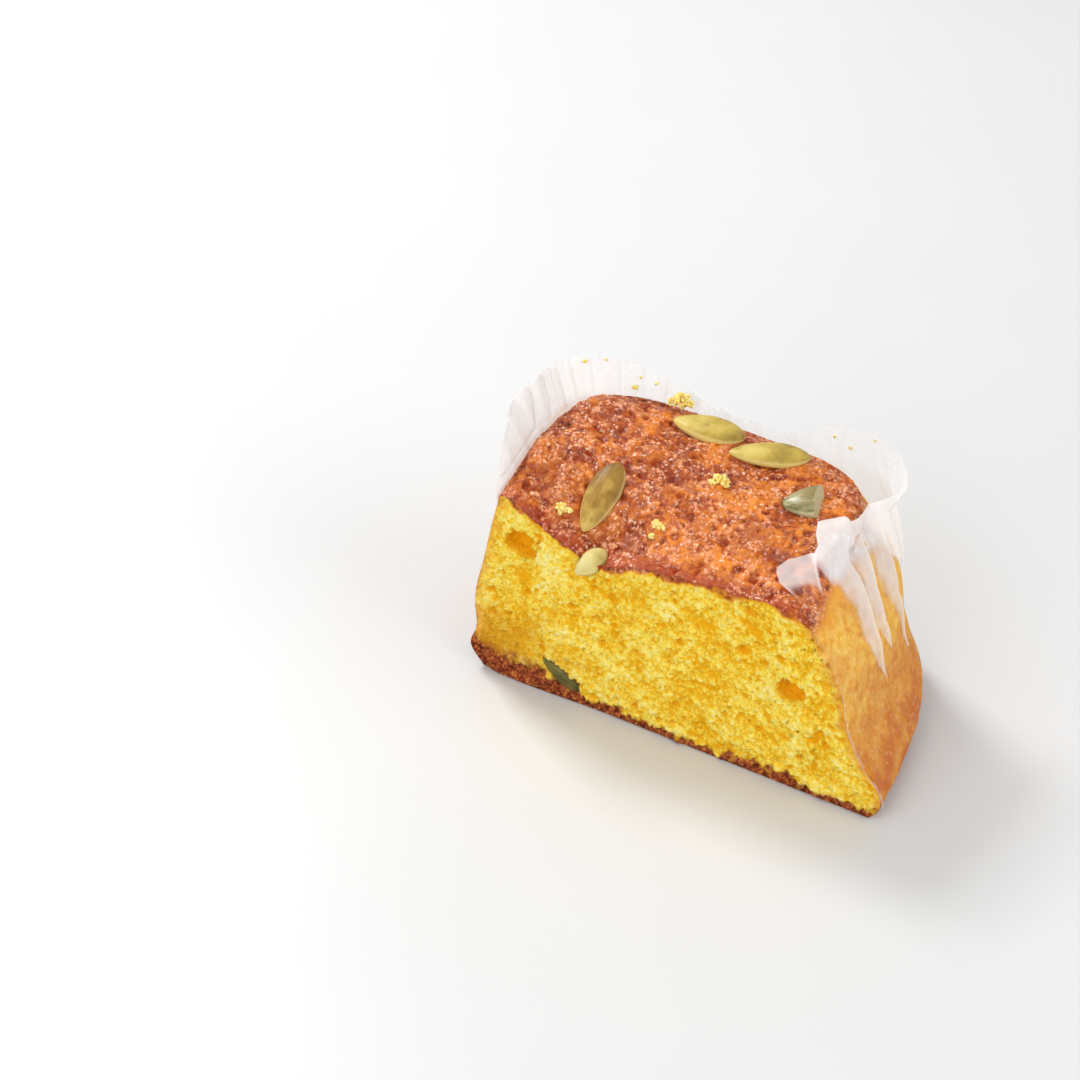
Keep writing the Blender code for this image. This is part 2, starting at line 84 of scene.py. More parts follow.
# The paper's free part: way round the wall (0 right end, 1 left end), how far it rises over the
# rim, how far it leans out, and how far below the rim it hangs loose
PAPER_EDGE = [
    (0.00, 0.5, 0.4, 0), (0.02, 0.9, -4.0, 0), (0.035, 1.0, -7.6, 0), (0.06, 1.2, -9.6, 0),
    (0.08, 1.4, -9.6, 0), (0.12, 2.2, -5.2, 0), (0.16, 2.6, -5.6, 0), (0.185, 3.0, -1.0, 1),
    (0.225, 3.6, 0.6, 8), (0.25, 3.2, 6.6, 15), (0.28, 4.4, 7.2, 16), (0.32, 5.2, 5.2, 14),
    (0.365, 3.6, 1.6, 8),
    (0.40, 1.6, 0.6, 3), (0.47, 1.4, 0.6, 2), (0.53, 1.8, 0.7, 2), (0.60, 3.5, 1.2, 1),
    (0.69, 6.3, 1.6, 2), (0.74, 6.4, 4.0, 5), (0.80, 7.6, 3.2, 3), (0.84, 6.6, 4.4, 2),
    (0.92, 5.0, 2.0, 1), (0.97, 3.2, 1.2, 0), (1.00, 1.0, 0.4, 0),
]
FREE_CURVE = 1.3
# A flap that leans this far inwards clears the rim in full, this far up its free part
FLAP_CLEARANCE = 2.6
FLAP_LEAN = 2.0
FLAP_START = 0.45

# Whole seeds: tip and blunt end on the top, width, thickness, and the share that is sunk
SEEDS = [
    ("seed_back_left", (-18.9, 29.7), (-6.8, 31.8), 6.6, 2.5, 0.30),
    ("seed_back_right", (-7.2, 27.0), (4.3, 33.4), 6.0, 2.5, 0.26),
    ("seed_front", (-20.1, 3.4), (-20.3, 14.9), 5.6, 2.6, 0.22),
]
# Pieces of seed: both ends, where the flat side faces, and length, width and thickness
SEED_PIECES = [
    ("seed_piece_top", (5.6, 21.0, 36.3), (15.2, 25.2, 38.0), (0, -0.2, 1), (10.6, 6.8, 2.6)),
    ("seed_piece_edge", (-18.7, -0.9, 26.9), (-15.6, 2.3, 29.9), (0.3, -0.6, 0.7), (6.2, 3.8, 2.2)),
    ("seed_piece_base", (-26.0, 0.9, 5.4), (-18.4, 0.9, 1.3), (0, -1, 0), (8.6, 3.2, 2.6)),
]
# The cut of the piece on the top, in the seed's own frame: a point of it, and its facing
KNIFE = ((0.6, 0, 0), (1, -0.1, 0.4))

# The detailed cake: fine grid along the cut, into the depth and up, and how many of its steps
# make one step of the plain skin
COLUMNS = 288
DEPTH_ROWS = 144
HEIGHT_ROWS = 128
SKIN_STEP = 4
SKIN_OUT = 0.35
# How far the crumb draws back beside a piece of seed, so that the piece shows whole
SEED_BED = 0.5
# A seed's bed is full up to this share of the seed's own outline, and ends at this one
BED_FULL = 0.8
BED_END = 1.12
# How far the crumb and the top stand out at most, how high the foot of the cut is ragged, and how
# the lift over the paper is given back near the ground
CRUMB_MOST = 0.6
TOP_MOST = 0.6
RAGGED_FOOT = 3.2
FOOT_CLEAR = 0.22
FOOT_SOFT = 2.5
# How far outside the plain form the paper runs
PAPER_OUT = 0.72


def smooth(x, low, high):
    """Soft step from 0 at low to 1 at high."""
    t = np.clip((x - low) / (high - low), 0, 1)
    return t * t * (3 - 2 * t)


def through(points, x):
    """Value at x of the smooth curve through a short list of (x, y) points."""
    px, py = np.array(points, float).T
    slope = np.gradient(py, px)
    x = np.clip(np.asarray(x, float), px[0], px[-1])
    i = np.clip(np.searchsorted(px, x) - 1, 0, len(px) - 2)
    span = px[i + 1] - px[i]
    t = (x - px[i]) / span
    start = 2 * t**3 - 3 * t**2 + 1
    value = start * py[i] + (1 - start) * py[i + 1]
    return value + span * ((t**3 - 2 * t**2 + t) * slope[i] + (t**3 - t**2) * slope[i + 1])


def hashed(x, y, z, seed):
    """Random whole numbers below 65536 for whole-number places."""
    mixed = (x * 73856093) ^ (y * 19349663) ^ (z * 83492791) ^ (seed * 2654435761)
    mixed = (mixed ^ (mixed >> 13)) * 1274126177
    return (mixed ^ (mixed >> 16)) & 0xffff


def noise(points, size, seed):
    """Smooth random field between -1 and 1 whose lumps are about size across."""
    grid = points / size
    cell = np.floor(grid).astype(np.int64)
    part = grid - cell
    part = part * part * (3 - 2 * part)
    total = np.zeros(len(points))
    for corner in np.ndindex(2, 2, 2):
        value = hashed(*(cell + corner).T, seed) / 32767.5 - 1
        total += value * np.prod(np.where(corner, part, 1 - part), axis=1)
    return total


def cells(points, size, seed):
    """Distance to the nearest random spot and to the second, in millimetres, and the spot's own draw."""
    grid = points / size
    cell = np.floor(grid).astype(np.int64)
    first = np.full(len(points), 9.0)
    second = np.full(len(points), 9.0)
    draw = np.zeros(len(points))
    for corner in np.ndindex(3, 3, 3):
        near = cell + corner - 1
        spot = near + np.stack([hashed(*near.T, seed + k) / 65535 for k in range(3)], axis=1)
        far = np.linalg.norm(grid - spot, axis=1)
        closer = far < first
        second = np.where(closer, first, np.minimum(second, far))
        draw = np.where(closer, hashed(*near.T, seed + 7) / 65535, draw)
        first = np.where(closer, far, first)
    return first * size, second * size, draw


def bent(points, size, reach, seed):
    """The points, each pushed a little aside by a smooth field."""
    return points + reach * np.stack([noise(points, size, seed + k) for k in range(3)], axis=1)


def top_height(u, v):
    """Height of the baked top: it falls towards the cut, unevenly along it, and round some seeds."""
    cut = through(CUT_TOP, u)
    back = BACK_HEIGHT + BACK_SLOPE * u
    height = cut + (back - cut) * smooth(v, 0, FRONT_DIP_LENGTH)
    for (bed_u, bed_v), reach, depth in BEDS:
        height = height - depth * np.exp(-((u - bed_u) ** 2 + (v - bed_v) ** 2) / reach**2)
    return height


def outline(z, angle, grow=0.0):
    """Plan of the cake's skin behind the cut at height z, from angle 0 (right) to pi (left)."""
    k = np.clip(z / FORM_HEIGHT, 0, 1)
    left = through(LEFT_EDGE, z) - grow
    right = through(RIGHT_EDGE, z) + grow
    middle = (left + right) / 2
    half = (right - left) / 2
    depth = DEPTH_LOW + (DEPTH_HIGH - DEPTH_LOW) * k - FOOT_UNDERCUT * np.exp(-z / FOOT_HEIGHT) + grow
    c = np.cos(angle)
    s = np.sin(angle)
    rightness = 0.5 * (1 + np.tanh(SIDE_CHANGE * c))
    right_power = RIGHT_POWER[0] + (RIGHT_POWER[1] - RIGHT_POWER[0]) * k
    left_power = LEFT_POWER[0] + (LEFT_POWER[1] - LEFT_POWER[0]) * k
    power = right_power * rightness + left_power * (1 - rightness)
    radius = (np.abs(c / half) ** power + np.abs(s / depth) ** power) ** (-1 / power)
    u = middle + radius * c
    v = radius * s
    bulge = (BULGE_LOW + (BULGE_HIGH - BULGE_LOW) * k) * np.sin(np.pi * np.clip(v / depth, 0, 1))
    lean = LEAN_LOW + (LEAN_HIGH - LEAN_LOW) * k
    return u + lean * v + bulge * rightness, v * (1 + BACK_TURN * (u - middle) / half)


def rim_height(angle):
    """Height where the skin at this angle meets the top."""
    z = np.full_like(angle, FORM_HEIGHT)
    for _ in range(SETTLE_ROUNDS):
        u, v = outline(z, angle)
        z = top_height(u, v) - RIM_ROUND
    return z


def wall_angles():
    """Angles of the wall's columns: up the right side, along the back and down the left side."""
    right = np.linspace(0, BACK_CORNER, DEPTH_ROWS + 1)
    back = np.linspace(BACK_CORNER, math.pi - BACK_CORNER, COLUMNS + 1)
    left = np.linspace(math.pi - BACK_CORNER, math.pi, DEPTH_ROWS + 1)
    return np.concatenate([right, back[1:], left[1:]])


def cut_point(across, share):
    """Point on the cut face, across from its left end and at a share of the way up."""
    top = np.full_like(across, FORM_HEIGHT)
    for _ in range(SETTLE_ROUNDS):
        left = through(LEFT_EDGE, top) - SKIN_OUT
        right = through(RIGHT_EDGE, top) + SKIN_OUT
        u = left + (right - left) * across
        edge = np.minimum(across, 1 - across) * (right - left)
        top = top_height(u, 0 * u) - RIM_ROUND * (1 - smooth(edge, 0, RIM_ROUND_LENGTH))
    z = share * top
    left = through(LEFT_EDGE, z) - SKIN_OUT
    right = through(RIGHT_EDGE, z) + SKIN_OUT
    return np.stack([left + (right - left) * across, 0 * z, z], axis=-1)


def top_patch(front, right, back, left):
    """Grid of points that fills the four edge curves, each a row of points."""
    a = np.linspace(0, 1, len(front))[:, None, None]
    b = np.linspace(0, 1, len(left))[None, :, None]
    sides = (1 - b) * front[:, None] + b * back[:, None] + (1 - a) * left[None] + a * right[None]
    corners = (1 - a) * (1 - b) * front[0] + a * (1 - b) * front[-1]
    corners = corners + (1 - a) * b * back[0] + a * b * back[-1]
    grid = sides - corners
    u, v = grid[..., 0], grid[..., 1]
    width = np.linalg.norm(front[-1] - front[0])
    depth = np.linalg.norm(back[0] - front[0])
    edge = np.minimum(np.minimum(a, 1 - a) * width, (1 - b) * depth)[..., 0]
    grid[..., 2] = top_height(u, v) - RIM_ROUND * (1 - smooth(edge, 0, RIM_ROUND_LENGTH))
    return grid


def cake_mesh():
    """Points and faces of the cake: fine cut and top, plainer skin, and each point's surface."""
    angles = wall_angles()
    rim = rim_height(angles)
    shares = np.linspace(0, 1, HEIGHT_ROWS + 1)
    columns = len(angles)
    points = []
    kinds = []
    skin = -np.ones((HEIGHT_ROWS + 1, columns), int)

    def add(place, kind):
        first = len(points)
        points.extend(place)
        kinds.extend([kind] * len(place))
        return np.arange(first, first + len(place))

    # Skin: every row at the two ends of the wall, every column at the rim, and a plainer net between
    for k, share in enumerate(shares):
        if k == HEIGHT_ROWS:
            chosen = np.arange(columns)
        elif k % SKIN_STEP == 0:
            chosen = np.arange(0, columns, SKIN_STEP)
        else:
            chosen = np.array([0, columns - 1])
        z = share * rim[chosen]
        u, v = outline(z, angles[chosen], SKIN_OUT)
        skin[k, chosen] = add(np.stack([u, v, z], axis=-1), 1)
    across = np.linspace(0, 1, COLUMNS + 1)[1:-1]
    cut = -np.ones((HEIGHT_ROWS + 1, COLUMNS + 1), int)
    for k, share in enumerate(shares):
        cut[k, 1:-1] = add(cut_point(across, share), 0)
    cut[:, 0] = skin[:, -1]
    cut[:, -1] = skin[:, 0]
    place = np.array(points)
    right = skin[-1, :DEPTH_ROWS + 1]
    back = skin[-1, DEPTH_ROWS:DEPTH_ROWS + COLUMNS + 1][::-1]
    left = skin[-1, DEPTH_ROWS + COLUMNS:][::-1]
    front = cut[-1]
    grid = top_patch(place[front], place[right], place[back], place[left])
    number = -np.ones(grid.shape[:2], int)
    number[:, 0] = front
    number[:, -1] = back
    number[0, :] = left
    number[-1, :] = right
    inner = grid[1:-1, 1:-1].reshape(-1, 3)
    number[1:-1, 1:-1] = add(inner, 2).reshape(grid.shape[0] - 2, grid.shape[1] - 2)

    faces = []
    a, b, c, d = number[:-1, :-1], number[1:, :-1], number[1:, 1:], number[:-1, 1:]
    faces += np.stack([a, b, c, d], axis=-1).reshape(-1, 4).tolist()
    a, b, c, d = cut[:-1, :-1], cut[:-1, 1:], cut[1:, 1:], cut[1:, :-1]
    faces += np.stack([a, b, c, d], axis=-1).reshape(-1, 4).tolist()
    for k in range(0, HEIGHT_ROWS, SKIN_STEP):
        for i in range(0, columns - 1, SKIN_STEP):
            low = [skin[k, i], skin[k, i + SKIN_STEP]]
            side = [skin[j, i + SKIN_STEP] for j in range(k + 1, k + SKIN_STEP)]
            high = [skin[k + SKIN_STEP, j] for j in range(i + SKIN_STEP, i - 1, -1)]
            other = [skin[j, i] for j in range(k + SKIN_STEP - 1, k, -1)]
            faces.append([int(n) for n in low + side + high + other if n >= 0])
    base = [int(n) for n in skin[0, ::SKIN_STEP]] + [int(n) for n in cut[0, 1:-1]]
    faces.append(base[::-1])
    return np.array(points), faces, np.array(kinds)


def normals_of(points, faces):
    """Normal at each point of a mesh."""
    mesh = bpy.data.meshes.new("measure")
    mesh.from_pydata(points.tolist(), [], faces)
    mesh.update()
    normal = np.zeros(len(points) * 3, np.float32)
    mesh.vertices.foreach_get("normal", normal)
    bpy.data.meshes.remove(mesh)
    return normal.reshape(-1, 3).astype(float)


def domes(place, size, seed):
    """Rounded lumps with narrow cracks between them, from 0 in the cracks to 1, and each lump's draw."""
    first, second, draw = cells(place, size, seed)
    return np.clip((second - first) / size * 1.6, 0, 1) ** 0.6, draw


def dents(place, size, least, most, seed):
    """Round hollows of random size, as depth in millimetres."""
    far, _, draw = cells(place, size, seed)
    radius = least + (most - least) * draw ** 2
    return radius * np.clip(1 - (far / radius) ** 2, 0, 1)


def crumb_relief(place):
    """How far the crumb stands out of the cut, and how deep each point lies in a pore or hole."""
    warped = bent(place, 1.3, 0.35, 40)
    lumps, draw = domes(warped, 1.25, 11)
    small, draw2 = domes(warped, 0.68, 13)
    coarse = noise(place, 4.2, 3)
    middle = noise(place, 2.0, 6)
    pores = dents(warped * (1, 1, 1.15), 2.1, 0.2, 1.05, 17) + dents(warped, 1.1, 0.15, 0.6, 19)
    push = 0.30 * coarse + 0.24 * middle + 0.36 * (lumps - 0.7) + 0.30 * (draw - 0.5)
    push += 0.26 * (small - 0.7) + 0.28 * (draw2 - 0.5)
    holes = np.zeros(len(place))
    ragged = 1 + 0.26 * noise(place, 1.2, 61) + 0.16 * noise(place, 0.5, 63)
    # Air holes have steeper walls than torn hollows
    for hollows, power, curve in ((AIR_HOLES, 3, 0.6), (TORN, 2, 1)):
        for (u, z), (wide, tall), deep, turn in hollows:
            du = place[:, 0] - u
            dz = place[:, 2] - z
            c, s = math.cos(math.radians(turn)), math.sin(math.radians(turn))
            far = np.hypot((du * c + dz * s) / wide, (dz * c - du * s) / tall) * ragged
            holes = np.maximum(holes, deep * np.clip(1 - far ** power, 0, 1) ** curve)
    calm = 1 - 0.6 * np.clip(holes, 0, 1)
    push = (push - pores) * calm - holes
    return np.minimum(push, 0.55), pores * calm + holes


def top_relief(place):
    """How far the glazed top stands out or in: lumps, pits with soft ridges, and fine grain."""
    warped = bent(place, 1.6, 0.5, 50)
    coarse = noise(place, 4.2, 3)
    middle = noise(place, 2.3, 8)
    pits = dents(warped, 1.9, 0.35, 1.1, 31)
    pits2 = dents(warped, 0.95, 0.15, 0.55, 33)
    ridge, draw = domes(warped, 1.1, 35)
    small, draw2 = domes(warped, 0.6, 37)
    push = 0.42 * coarse + 0.26 * middle - 0.7 * pits - 0.6 * pits2 + 0.24
    push += 0.22 * (ridge - 0.7) + 0.16 * (draw - 0.5) + 0.10 * (small - 0.7) + 0.10 * (draw2 - 0.5)
    return np.minimum(push, TOP_MOST), pits + 0.6 * pits2


def mesh_piece(name, points, faces, material, attributes=None, sharp=None):
    """Object from points in millimetres, riding on the part, with its measured fields."""
    mesh = bpy.data.meshes.new(name)
    place = (np.asarray(points, float) - ORIGIN) * MM
    mesh.from_pydata(place.tolist(), [], faces)
    mesh.materials.append(material)
    mesh.update()
    mesh.shade_smooth()
    if sharp is not None:
        mesh.set_sharp_from_angle(angle=math.radians(sharp))
    for key, values in (attributes or {}).items():
        layer = mesh.attributes.new(key, "FLOAT", "POINT")
        layer.data.foreach_set("value", np.asarray(values, np.float32))
    item = bpy.data.objects.new(name, mesh)
    bpy.context.scene.collection.objects.link(item)
    return item


def seed_beds(place):
    """Where a seed lies, from 0 beside it to 1 at its middle, and how high the cake may reach there."""
    inside = np.zeros(len(place))
    level = np.full(len(place), 99.0)
    for _, turn, (length, width, thickness) in seed_places():
        local = (place - np.array(turn.translation)) @ np.array(turn.to_3x3())
        far = np.hypot(local[:, 0] / (length / 2), local[:, 1] / (width / 2))
        near = (far < BED_END) & (np.abs(local[:, 2]) < 2 * thickness)
        inside = np.where(near, 1 - smooth(far, BED_FULL, BED_END), inside)
        level = np.where(near, -local[:, 2] - 0.12 * thickness, level)
    return inside, level


def make_cake(material):
    """The cake with its crumb, glazed top and skin, as one closed mesh."""
    points, faces, kinds = cake_mesh()
    normal = normals_of(points, faces)
    crumb = kinds == 0
    skin = kinds == 1
    top = kinds == 2
    push = np.zeros(len(points))
    deep = np.zeros(len(points))
    away, pore = crumb_relief(points)
    lumps, pits = top_relief(points)
    # The crumb's relief fades where the cut meets the top
    u, v, z = points.T
    below = top_height(u, 0 * u) - z
    push[crumb] = away[crumb] * smooth(below[crumb], -0.2, 1.2)
    deep[crumb] = pore[crumb]
    normal[crumb] = (0, -1, 0)
    bed, level = seed_beds(points)
    lumps = np.where(bed > 0, lumps * (1 - bed) + np.minimum(lumps, level) * bed, lumps)
    push[top] = lumps[top]
    deep[top] = pits[top]
    push[skin] = 0.12 * noise(points[skin], 4.2, 3)
    # The knife's edge of the top is a little torn
    rim = crumb & (below < 0.01)
    push[rim] = 0.3 * noise(points[rim], 1.2, 71) + 0.15 * noise(points[rim], 0.5, 72)
    push[z < 0.01] = 0
    # The foot of the cut is ragged crust
    low = crumb & (z > 0.01) & (z < RAGGED_FOOT)
    push[low] += 0.35 * noise(points[low], 1.6, 73) + 0.25 * noise(points[low], 0.7, 74)
    push[crumb] = np.minimum(push[crumb], CRUMB_MOST)
    # Towards the left end the foot of the cut spreads
    gap_left = u - through(LEFT_EDGE, z) + SKIN_OUT
    spread = 0.62 * smooth(gap_left, 0, 3.5) * (1 - smooth(gap_left, 8, 24)) * (1 - smooth(z, 1.0, 6.0))
    push[crumb] += spread[crumb] - SEED_BED * bed[crumb]
    moved = points + normal * push[:, None]
    drop = (CAKE_LIFT - FOOT_CLEAR) * (1 - smooth(moved[:, 2], 0, FOOT_SOFT))
    moved[:, 2] += CAKE_LIFT - drop
    torn = 0.7 * noise(points, 2.4, 80) + 0.5 * noise(points, 1.0, 81)
    crust = np.where(crumb, 1 - smooth(below + torn, 0.3, 1.5), 1.0)
    over_edge = top_height(u, v) - z + 1.4 * noise(points, 2.6, 90)
    crust = np.where(skin, 0.9 * (1 - smooth(over_edge, 1.0, 4.2)), crust)
    side = np.where(skin, 1.0, 0.0)
    gap_right = through(RIGHT_EDGE, z) + SKIN_OUT - u
    right_band = 1 - smooth(gap_right + 0.8 * noise(points, 1.1, 83), 0.2, 2.2)
    left_band = 1 - smooth(gap_left + 0.8 * noise(points, 1.4, 84), 0.2, 2.2)
    left_band = 0.75 * left_band
    # The crumb turns darker and more orange towards the lower left of the cut
    corner = np.hypot((gap_left - 0.5) / 25.0, z / 20.0)
    corner = corner + 0.16 * noise(points, 1.8, 88) + 0.12 * noise(points, 4.0, 89)
    corner = np.where(crumb, 1 - smooth(corner, 0.10, 1.0), 0.0)
    low_skin = np.where(skin, 1 - smooth(z + 3.0 * noise(points, 5.0, 82), 4.0, 24.0), 0.0)
    side = np.where(crumb, np.maximum(right_band, left_band), side)
    torn = 0.9 * noise(points, 2.4, 85) + 0.7 * noise(points, 0.9, 86)
    thick = 1.2 + 2.5 * (1 - smooth(gap_left, 6, 26)) + 0.4 * noise(points, 6.0, 76)
    foot = 1 - smooth((z + 0.95 * torn) / np.maximum(thick, 0.7), 0.8, 1.35)
    foot = np.where(top, 0.0, foot)
    front = 1 - smooth(v + 0.8 * noise(points, 2.0, 87), 0.5, 3.5)
    front = np.where(top | rim, front, 0.0)
    # The fields deep and up steer painted shade in the pores, hollows and pits and painted light on raised
    # crumb and glaze
    item = mesh_piece("cake_half", moved, faces, material,
                      {"crust": crust, "side": side, "foot": foot, "deep": deep, "front": front,
                       "corner": corner, "low": low_skin,
                       "up": np.where(crumb, away, lumps)})
    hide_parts("cake")
    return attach(item, "root")


# Pleats pressed into the paper, each as its left and right edge from the tip up: way round the
# wall, and row (0 base, 1 rim, 2 free edge)
PLEATS = [
    ([(0.124, 0.43), (0.104, 0.56), (0.088, 0.735), (0.103, 0.87), (0.097, 1.04), (0.103, 1.46),
      (0.137, 1.9)],
     [(0.124, 0.43), (0.122, 0.575), (0.125, 0.725), (0.14, 0.84), (0.152, 0.92), (0.165, 1.1),
      (0.176, 1.26)]),
    ([(0.148, 0.53), (0.128, 0.68), (0.125, 0.725), (0.14, 0.84), (0.152, 0.92), (0.165, 1.1),
      (0.176, 1.26)],
     [(0.148, 0.53), (0.149, 0.6), (0.149, 0.69), (0.16, 0.78), (0.166, 0.825), (0.191, 0.925),
      (0.208, 1.0)]),
    ([(0.195, 0.375), (0.183, 0.52), (0.17, 0.72), (0.17, 0.795), (0.173, 0.865), (0.191, 0.925),
      (0.208, 1.0), (0.215, 2.0)],
     [(0.198, 0.37), (0.2, 0.535), (0.199, 0.69), (0.212, 0.74), (0.223, 0.79), (0.23, 0.875),
      (0.236, 0.965), (0.231, 1.74)]),
]
# Over how much of its width each drawn pleat turns milky, from its left edge
PLEAT_SOFT = (0.30, 0.05, 0.30)
# Folds that show on the inside of the free part at the left end, drawn the same way, and thin
# fold lines further along, painted as lines of shade: way round and half width
INNER_FOLDS = [
    ([(0.97, 1.6), (0.946, 1.34), (0.878, 1.16), (0.831, 1.16), (0.82, 1.48), (0.811, 2.0)],
     [(0.975, 1.9), (0.964, 1.98), (0.93, 2.0), (0.886, 2.0), (0.86, 2.0), (0.838, 2.0)]),
    ([(0.789, 1.08), (0.786, 1.4), (0.784, 1.7), (0.782, 1.88), (0.785, 2.0)],
     [(0.831, 1.16), (0.82, 1.48), (0.812, 1.76), (0.815, 1.9), (0.824, 2.0)]),
    ([(0.753, 1.0), (0.755, 1.12), (0.754, 1.42), (0.755, 1.98)],
     [(0.768, 1.0), (0.768, 1.36), (0.768, 1.86), (0.762, 2.0)]),
]
FOLD_SHADE_LINES = [(0.735, 0.0022), (0.711, 0.0022), (0.674, 0.0026), (0.640, 0.0020), (0.606, 0.0020)]
# Plain pleats on the hidden and far sides: tip, and left and right end of the stretch that each
# one covers at the free edge
PLAIN_PLEATS = [
    (0.240, 0.42, 0.250, 0.272), (0.282, 0.40, 0.290, 0.312), (0.330, 0.45, 0.330, 0.356),
    (0.385, 0.55, 0.384, 0.404), (0.440, 0.50, 0.438, 0.462), (0.495, 0.56, 0.494, 0.514),
    (0.550, 0.50, 0.546, 0.572), (0.602, 0.54, 0.596, 0.620), (0.652, 0.47, 0.640, 0.664),
    (0.690, 0.42, 0.676, 0.700), (0.728, 0.38, 0.716, 0.742), (0.770, 0.42, 0.762, 0.788),
    (0.812, 0.40, 0.806, 0.832), (0.858, 0.44, 0.852, 0.880), (0.905, 0.42, 0.902, 0.932),
]
STEP_UP = 0.45
# The flap at the right end: its crease and its ragged lower line, each as a way at a row and the
# change of way per row
FLAP_CREASE = (0.070, 1.16, 0.080)
FLAP_LOWER = (0.014, 2.0, -0.067)
# Where the free edge is torn lower than the paper's full height: way round and row
TORN_EDGE = [(0.0, 2.0), (0.051, 1.95), (0.106, 1.66), (0.1075, 1.62), (0.137, 1.9), (0.167, 2.0),
             (1.0, 2.0)]
# How far below the rim the paper turns dry and milky, at shares of the way round
DRY_FROM = [(0.0, -9.0), (0.085, -7.0), (0.097, -0.5), (0.12, 0.6), (0.15, 0.8), (0.18, 1.2), (0.2, 2.2),
            (0.22, 4.5), (0.25, 12.0), (0.28, 15.5), (0.32, 13.5), (0.365, 9.0), (0.40, 5.0), (0.53, 4.0),
            (0.60, 3.0), (0.69, 4.0), (0.80, 5.0), (0.92, 3.0), (1.0, 0.5)]
# How milky the dry paper gets, at shares of the way round
MILKY = [(0.0, 1.0), (0.2, 1.0), (0.235, 0.9), (0.26, 0.35), (0.32, 0.22), (0.45, 0.22), (0.6, 0.35),
         (0.7, 0.5), (0.76, 0.9), (1.0, 1.0)]
WALL_ROWS = 46
FREE_ROWS = 16
RIGHT_COLUMNS = 190
SHEET_COLUMNS = 420
PLEAT_ROWS = 60
PLEAT_COLUMNS = 14
# Places of a pleat's points along it and across it
SHARES = np.linspace(0, 1, PLEAT_ROWS + 1)[:, None]
ACROSS = np.linspace(0, 1, PLEAT_COLUMNS + 1)
# Height of the paper's lowest line, how far its ends stand out from the cut, how milky the flap and
# the inner folds are, and strips of the floor
GROUND = 0.06
ENDS_OUT = 0.22
FLAP_MILK = 0.62
FOLD_MILK = 0.75
FLOOR_STRIPS = 12


def way_angle(way):
    """Angle on the plan at a share of the way round the wall."""
    return np.interp(way, [0, 19 / 74, 55 / 74, 1], [0, BACK_CORNER, math.pi - BACK_CORNER, math.pi])


def rim_steps(way):
    """How the free edge steps down at each pleat's fold and climbs again up to the next."""
    total = np.zeros_like(way)
    for tip, low, left, right in PLAIN_PLEATS:
        total += STEP_UP * (np.clip((way - left + 0.02) / (right - left + 0.02), 0, 1) - (way > right))
    return total


def paper_point(way, row, out):
    """Points of the paper at shares of the way round, row from 0 (base) by 1 (rim) to 2 (free edge).

    Also how far each lies above the line where the paper turns dry."""
    angle = way_angle(way)
    ways, rises, leans, drops = np.array(PAPER_EDGE).T
    rise = np.interp(way, ways, rises) + rim_steps(way)
    lean = np.interp(way, ways, leans)
    drop = np.interp(way, ways, drops)
    rim = rim_height(angle)
    free = np.clip(row - 1, 0, 1)
    z = rim * np.clip(row, 0, 1)
    u, v = outline(z, angle)
    step = 1e-3
    u1, v1 = outline(z, np.minimum(angle + step, math.pi))
    u0, v0 = outline(z, np.maximum(angle - step, 0))
    length = np.hypot(u1 - u0, v1 - v0)
    out_u = (v1 - v0) / length
    out_v = -(u1 - u0) / length
    out_v = np.where((way < 0.004) | (way > 0.996), 0, out_v)
    height = z + rise * free
    loose = np.clip((height - rim + drop) / (rise + drop), 0, 1)
    away = out + lean * loose ** FREE_CURVE
    over = FLAP_CLEARANCE * smooth(-lean, 0, FLAP_LEAN) * smooth(free, 0, FLAP_START)
    dry_ways, dry = np.array(DRY_FROM).T
    above = height + over - rim + np.interp(way, dry_ways, dry)
    return np.stack([u + out_u * away, v + out_v * away, height + PAPER + over], axis=-1), above


def grid_faces(first, rows, columns):
    """Quads of a grid of points numbered row by row."""
    n = first + np.arange(rows * columns).reshape(rows, columns)
    return np.stack([n[:-1, :-1], n[:-1, 1:], n[1:, 1:], n[1:, :-1]], axis=-1).reshape(-1, 4).tolist()


def beyond(line, way, row):
    """How far, in shares of the way round, a place lies beyond a slanted line of the paper."""
    start, at, slant = line
    return way - start - slant * (row - at)


def flap_share(way, row):
    """1 on the flap at the right end, 0 off it, and how near each place lies to its crease."""
    crease = beyond(FLAP_CREASE, way, row)
    inside = (1 - smooth(crease, -0.001, 0.002)) * smooth(beyond(FLAP_LOWER, way, row), -0.002, 0.010)
    near = np.exp(-(crease / 0.003) ** 2) * smooth(row, 1.1, 1.2) * (1 - smooth(row, 1.55, 1.7))
    return inside, near


def along_edge(edge, share):
    """Way and row at shares of the length of a pleat's edge."""
    knots = np.linspace(0, 1, len(edge))
    ways, rows = np.array(edge).T
    return np.interp(share, knots, ways), np.interp(share, knots, rows)


def between(left, right):
    """Ways and rows of the points of a pleat between its left and right edge."""
    left_way, left_row = along_edge(left, SHARES)
    right_way, right_row = along_edge(right, SHARES)
    return left_way + (right_way - left_way) * ACROSS, left_row + (right_row - left_row) * ACROSS


def milkiness(way):
    """How milky the dry paper gets at a share of the way round."""
    return np.interp(way, *np.array(MILKY).T)


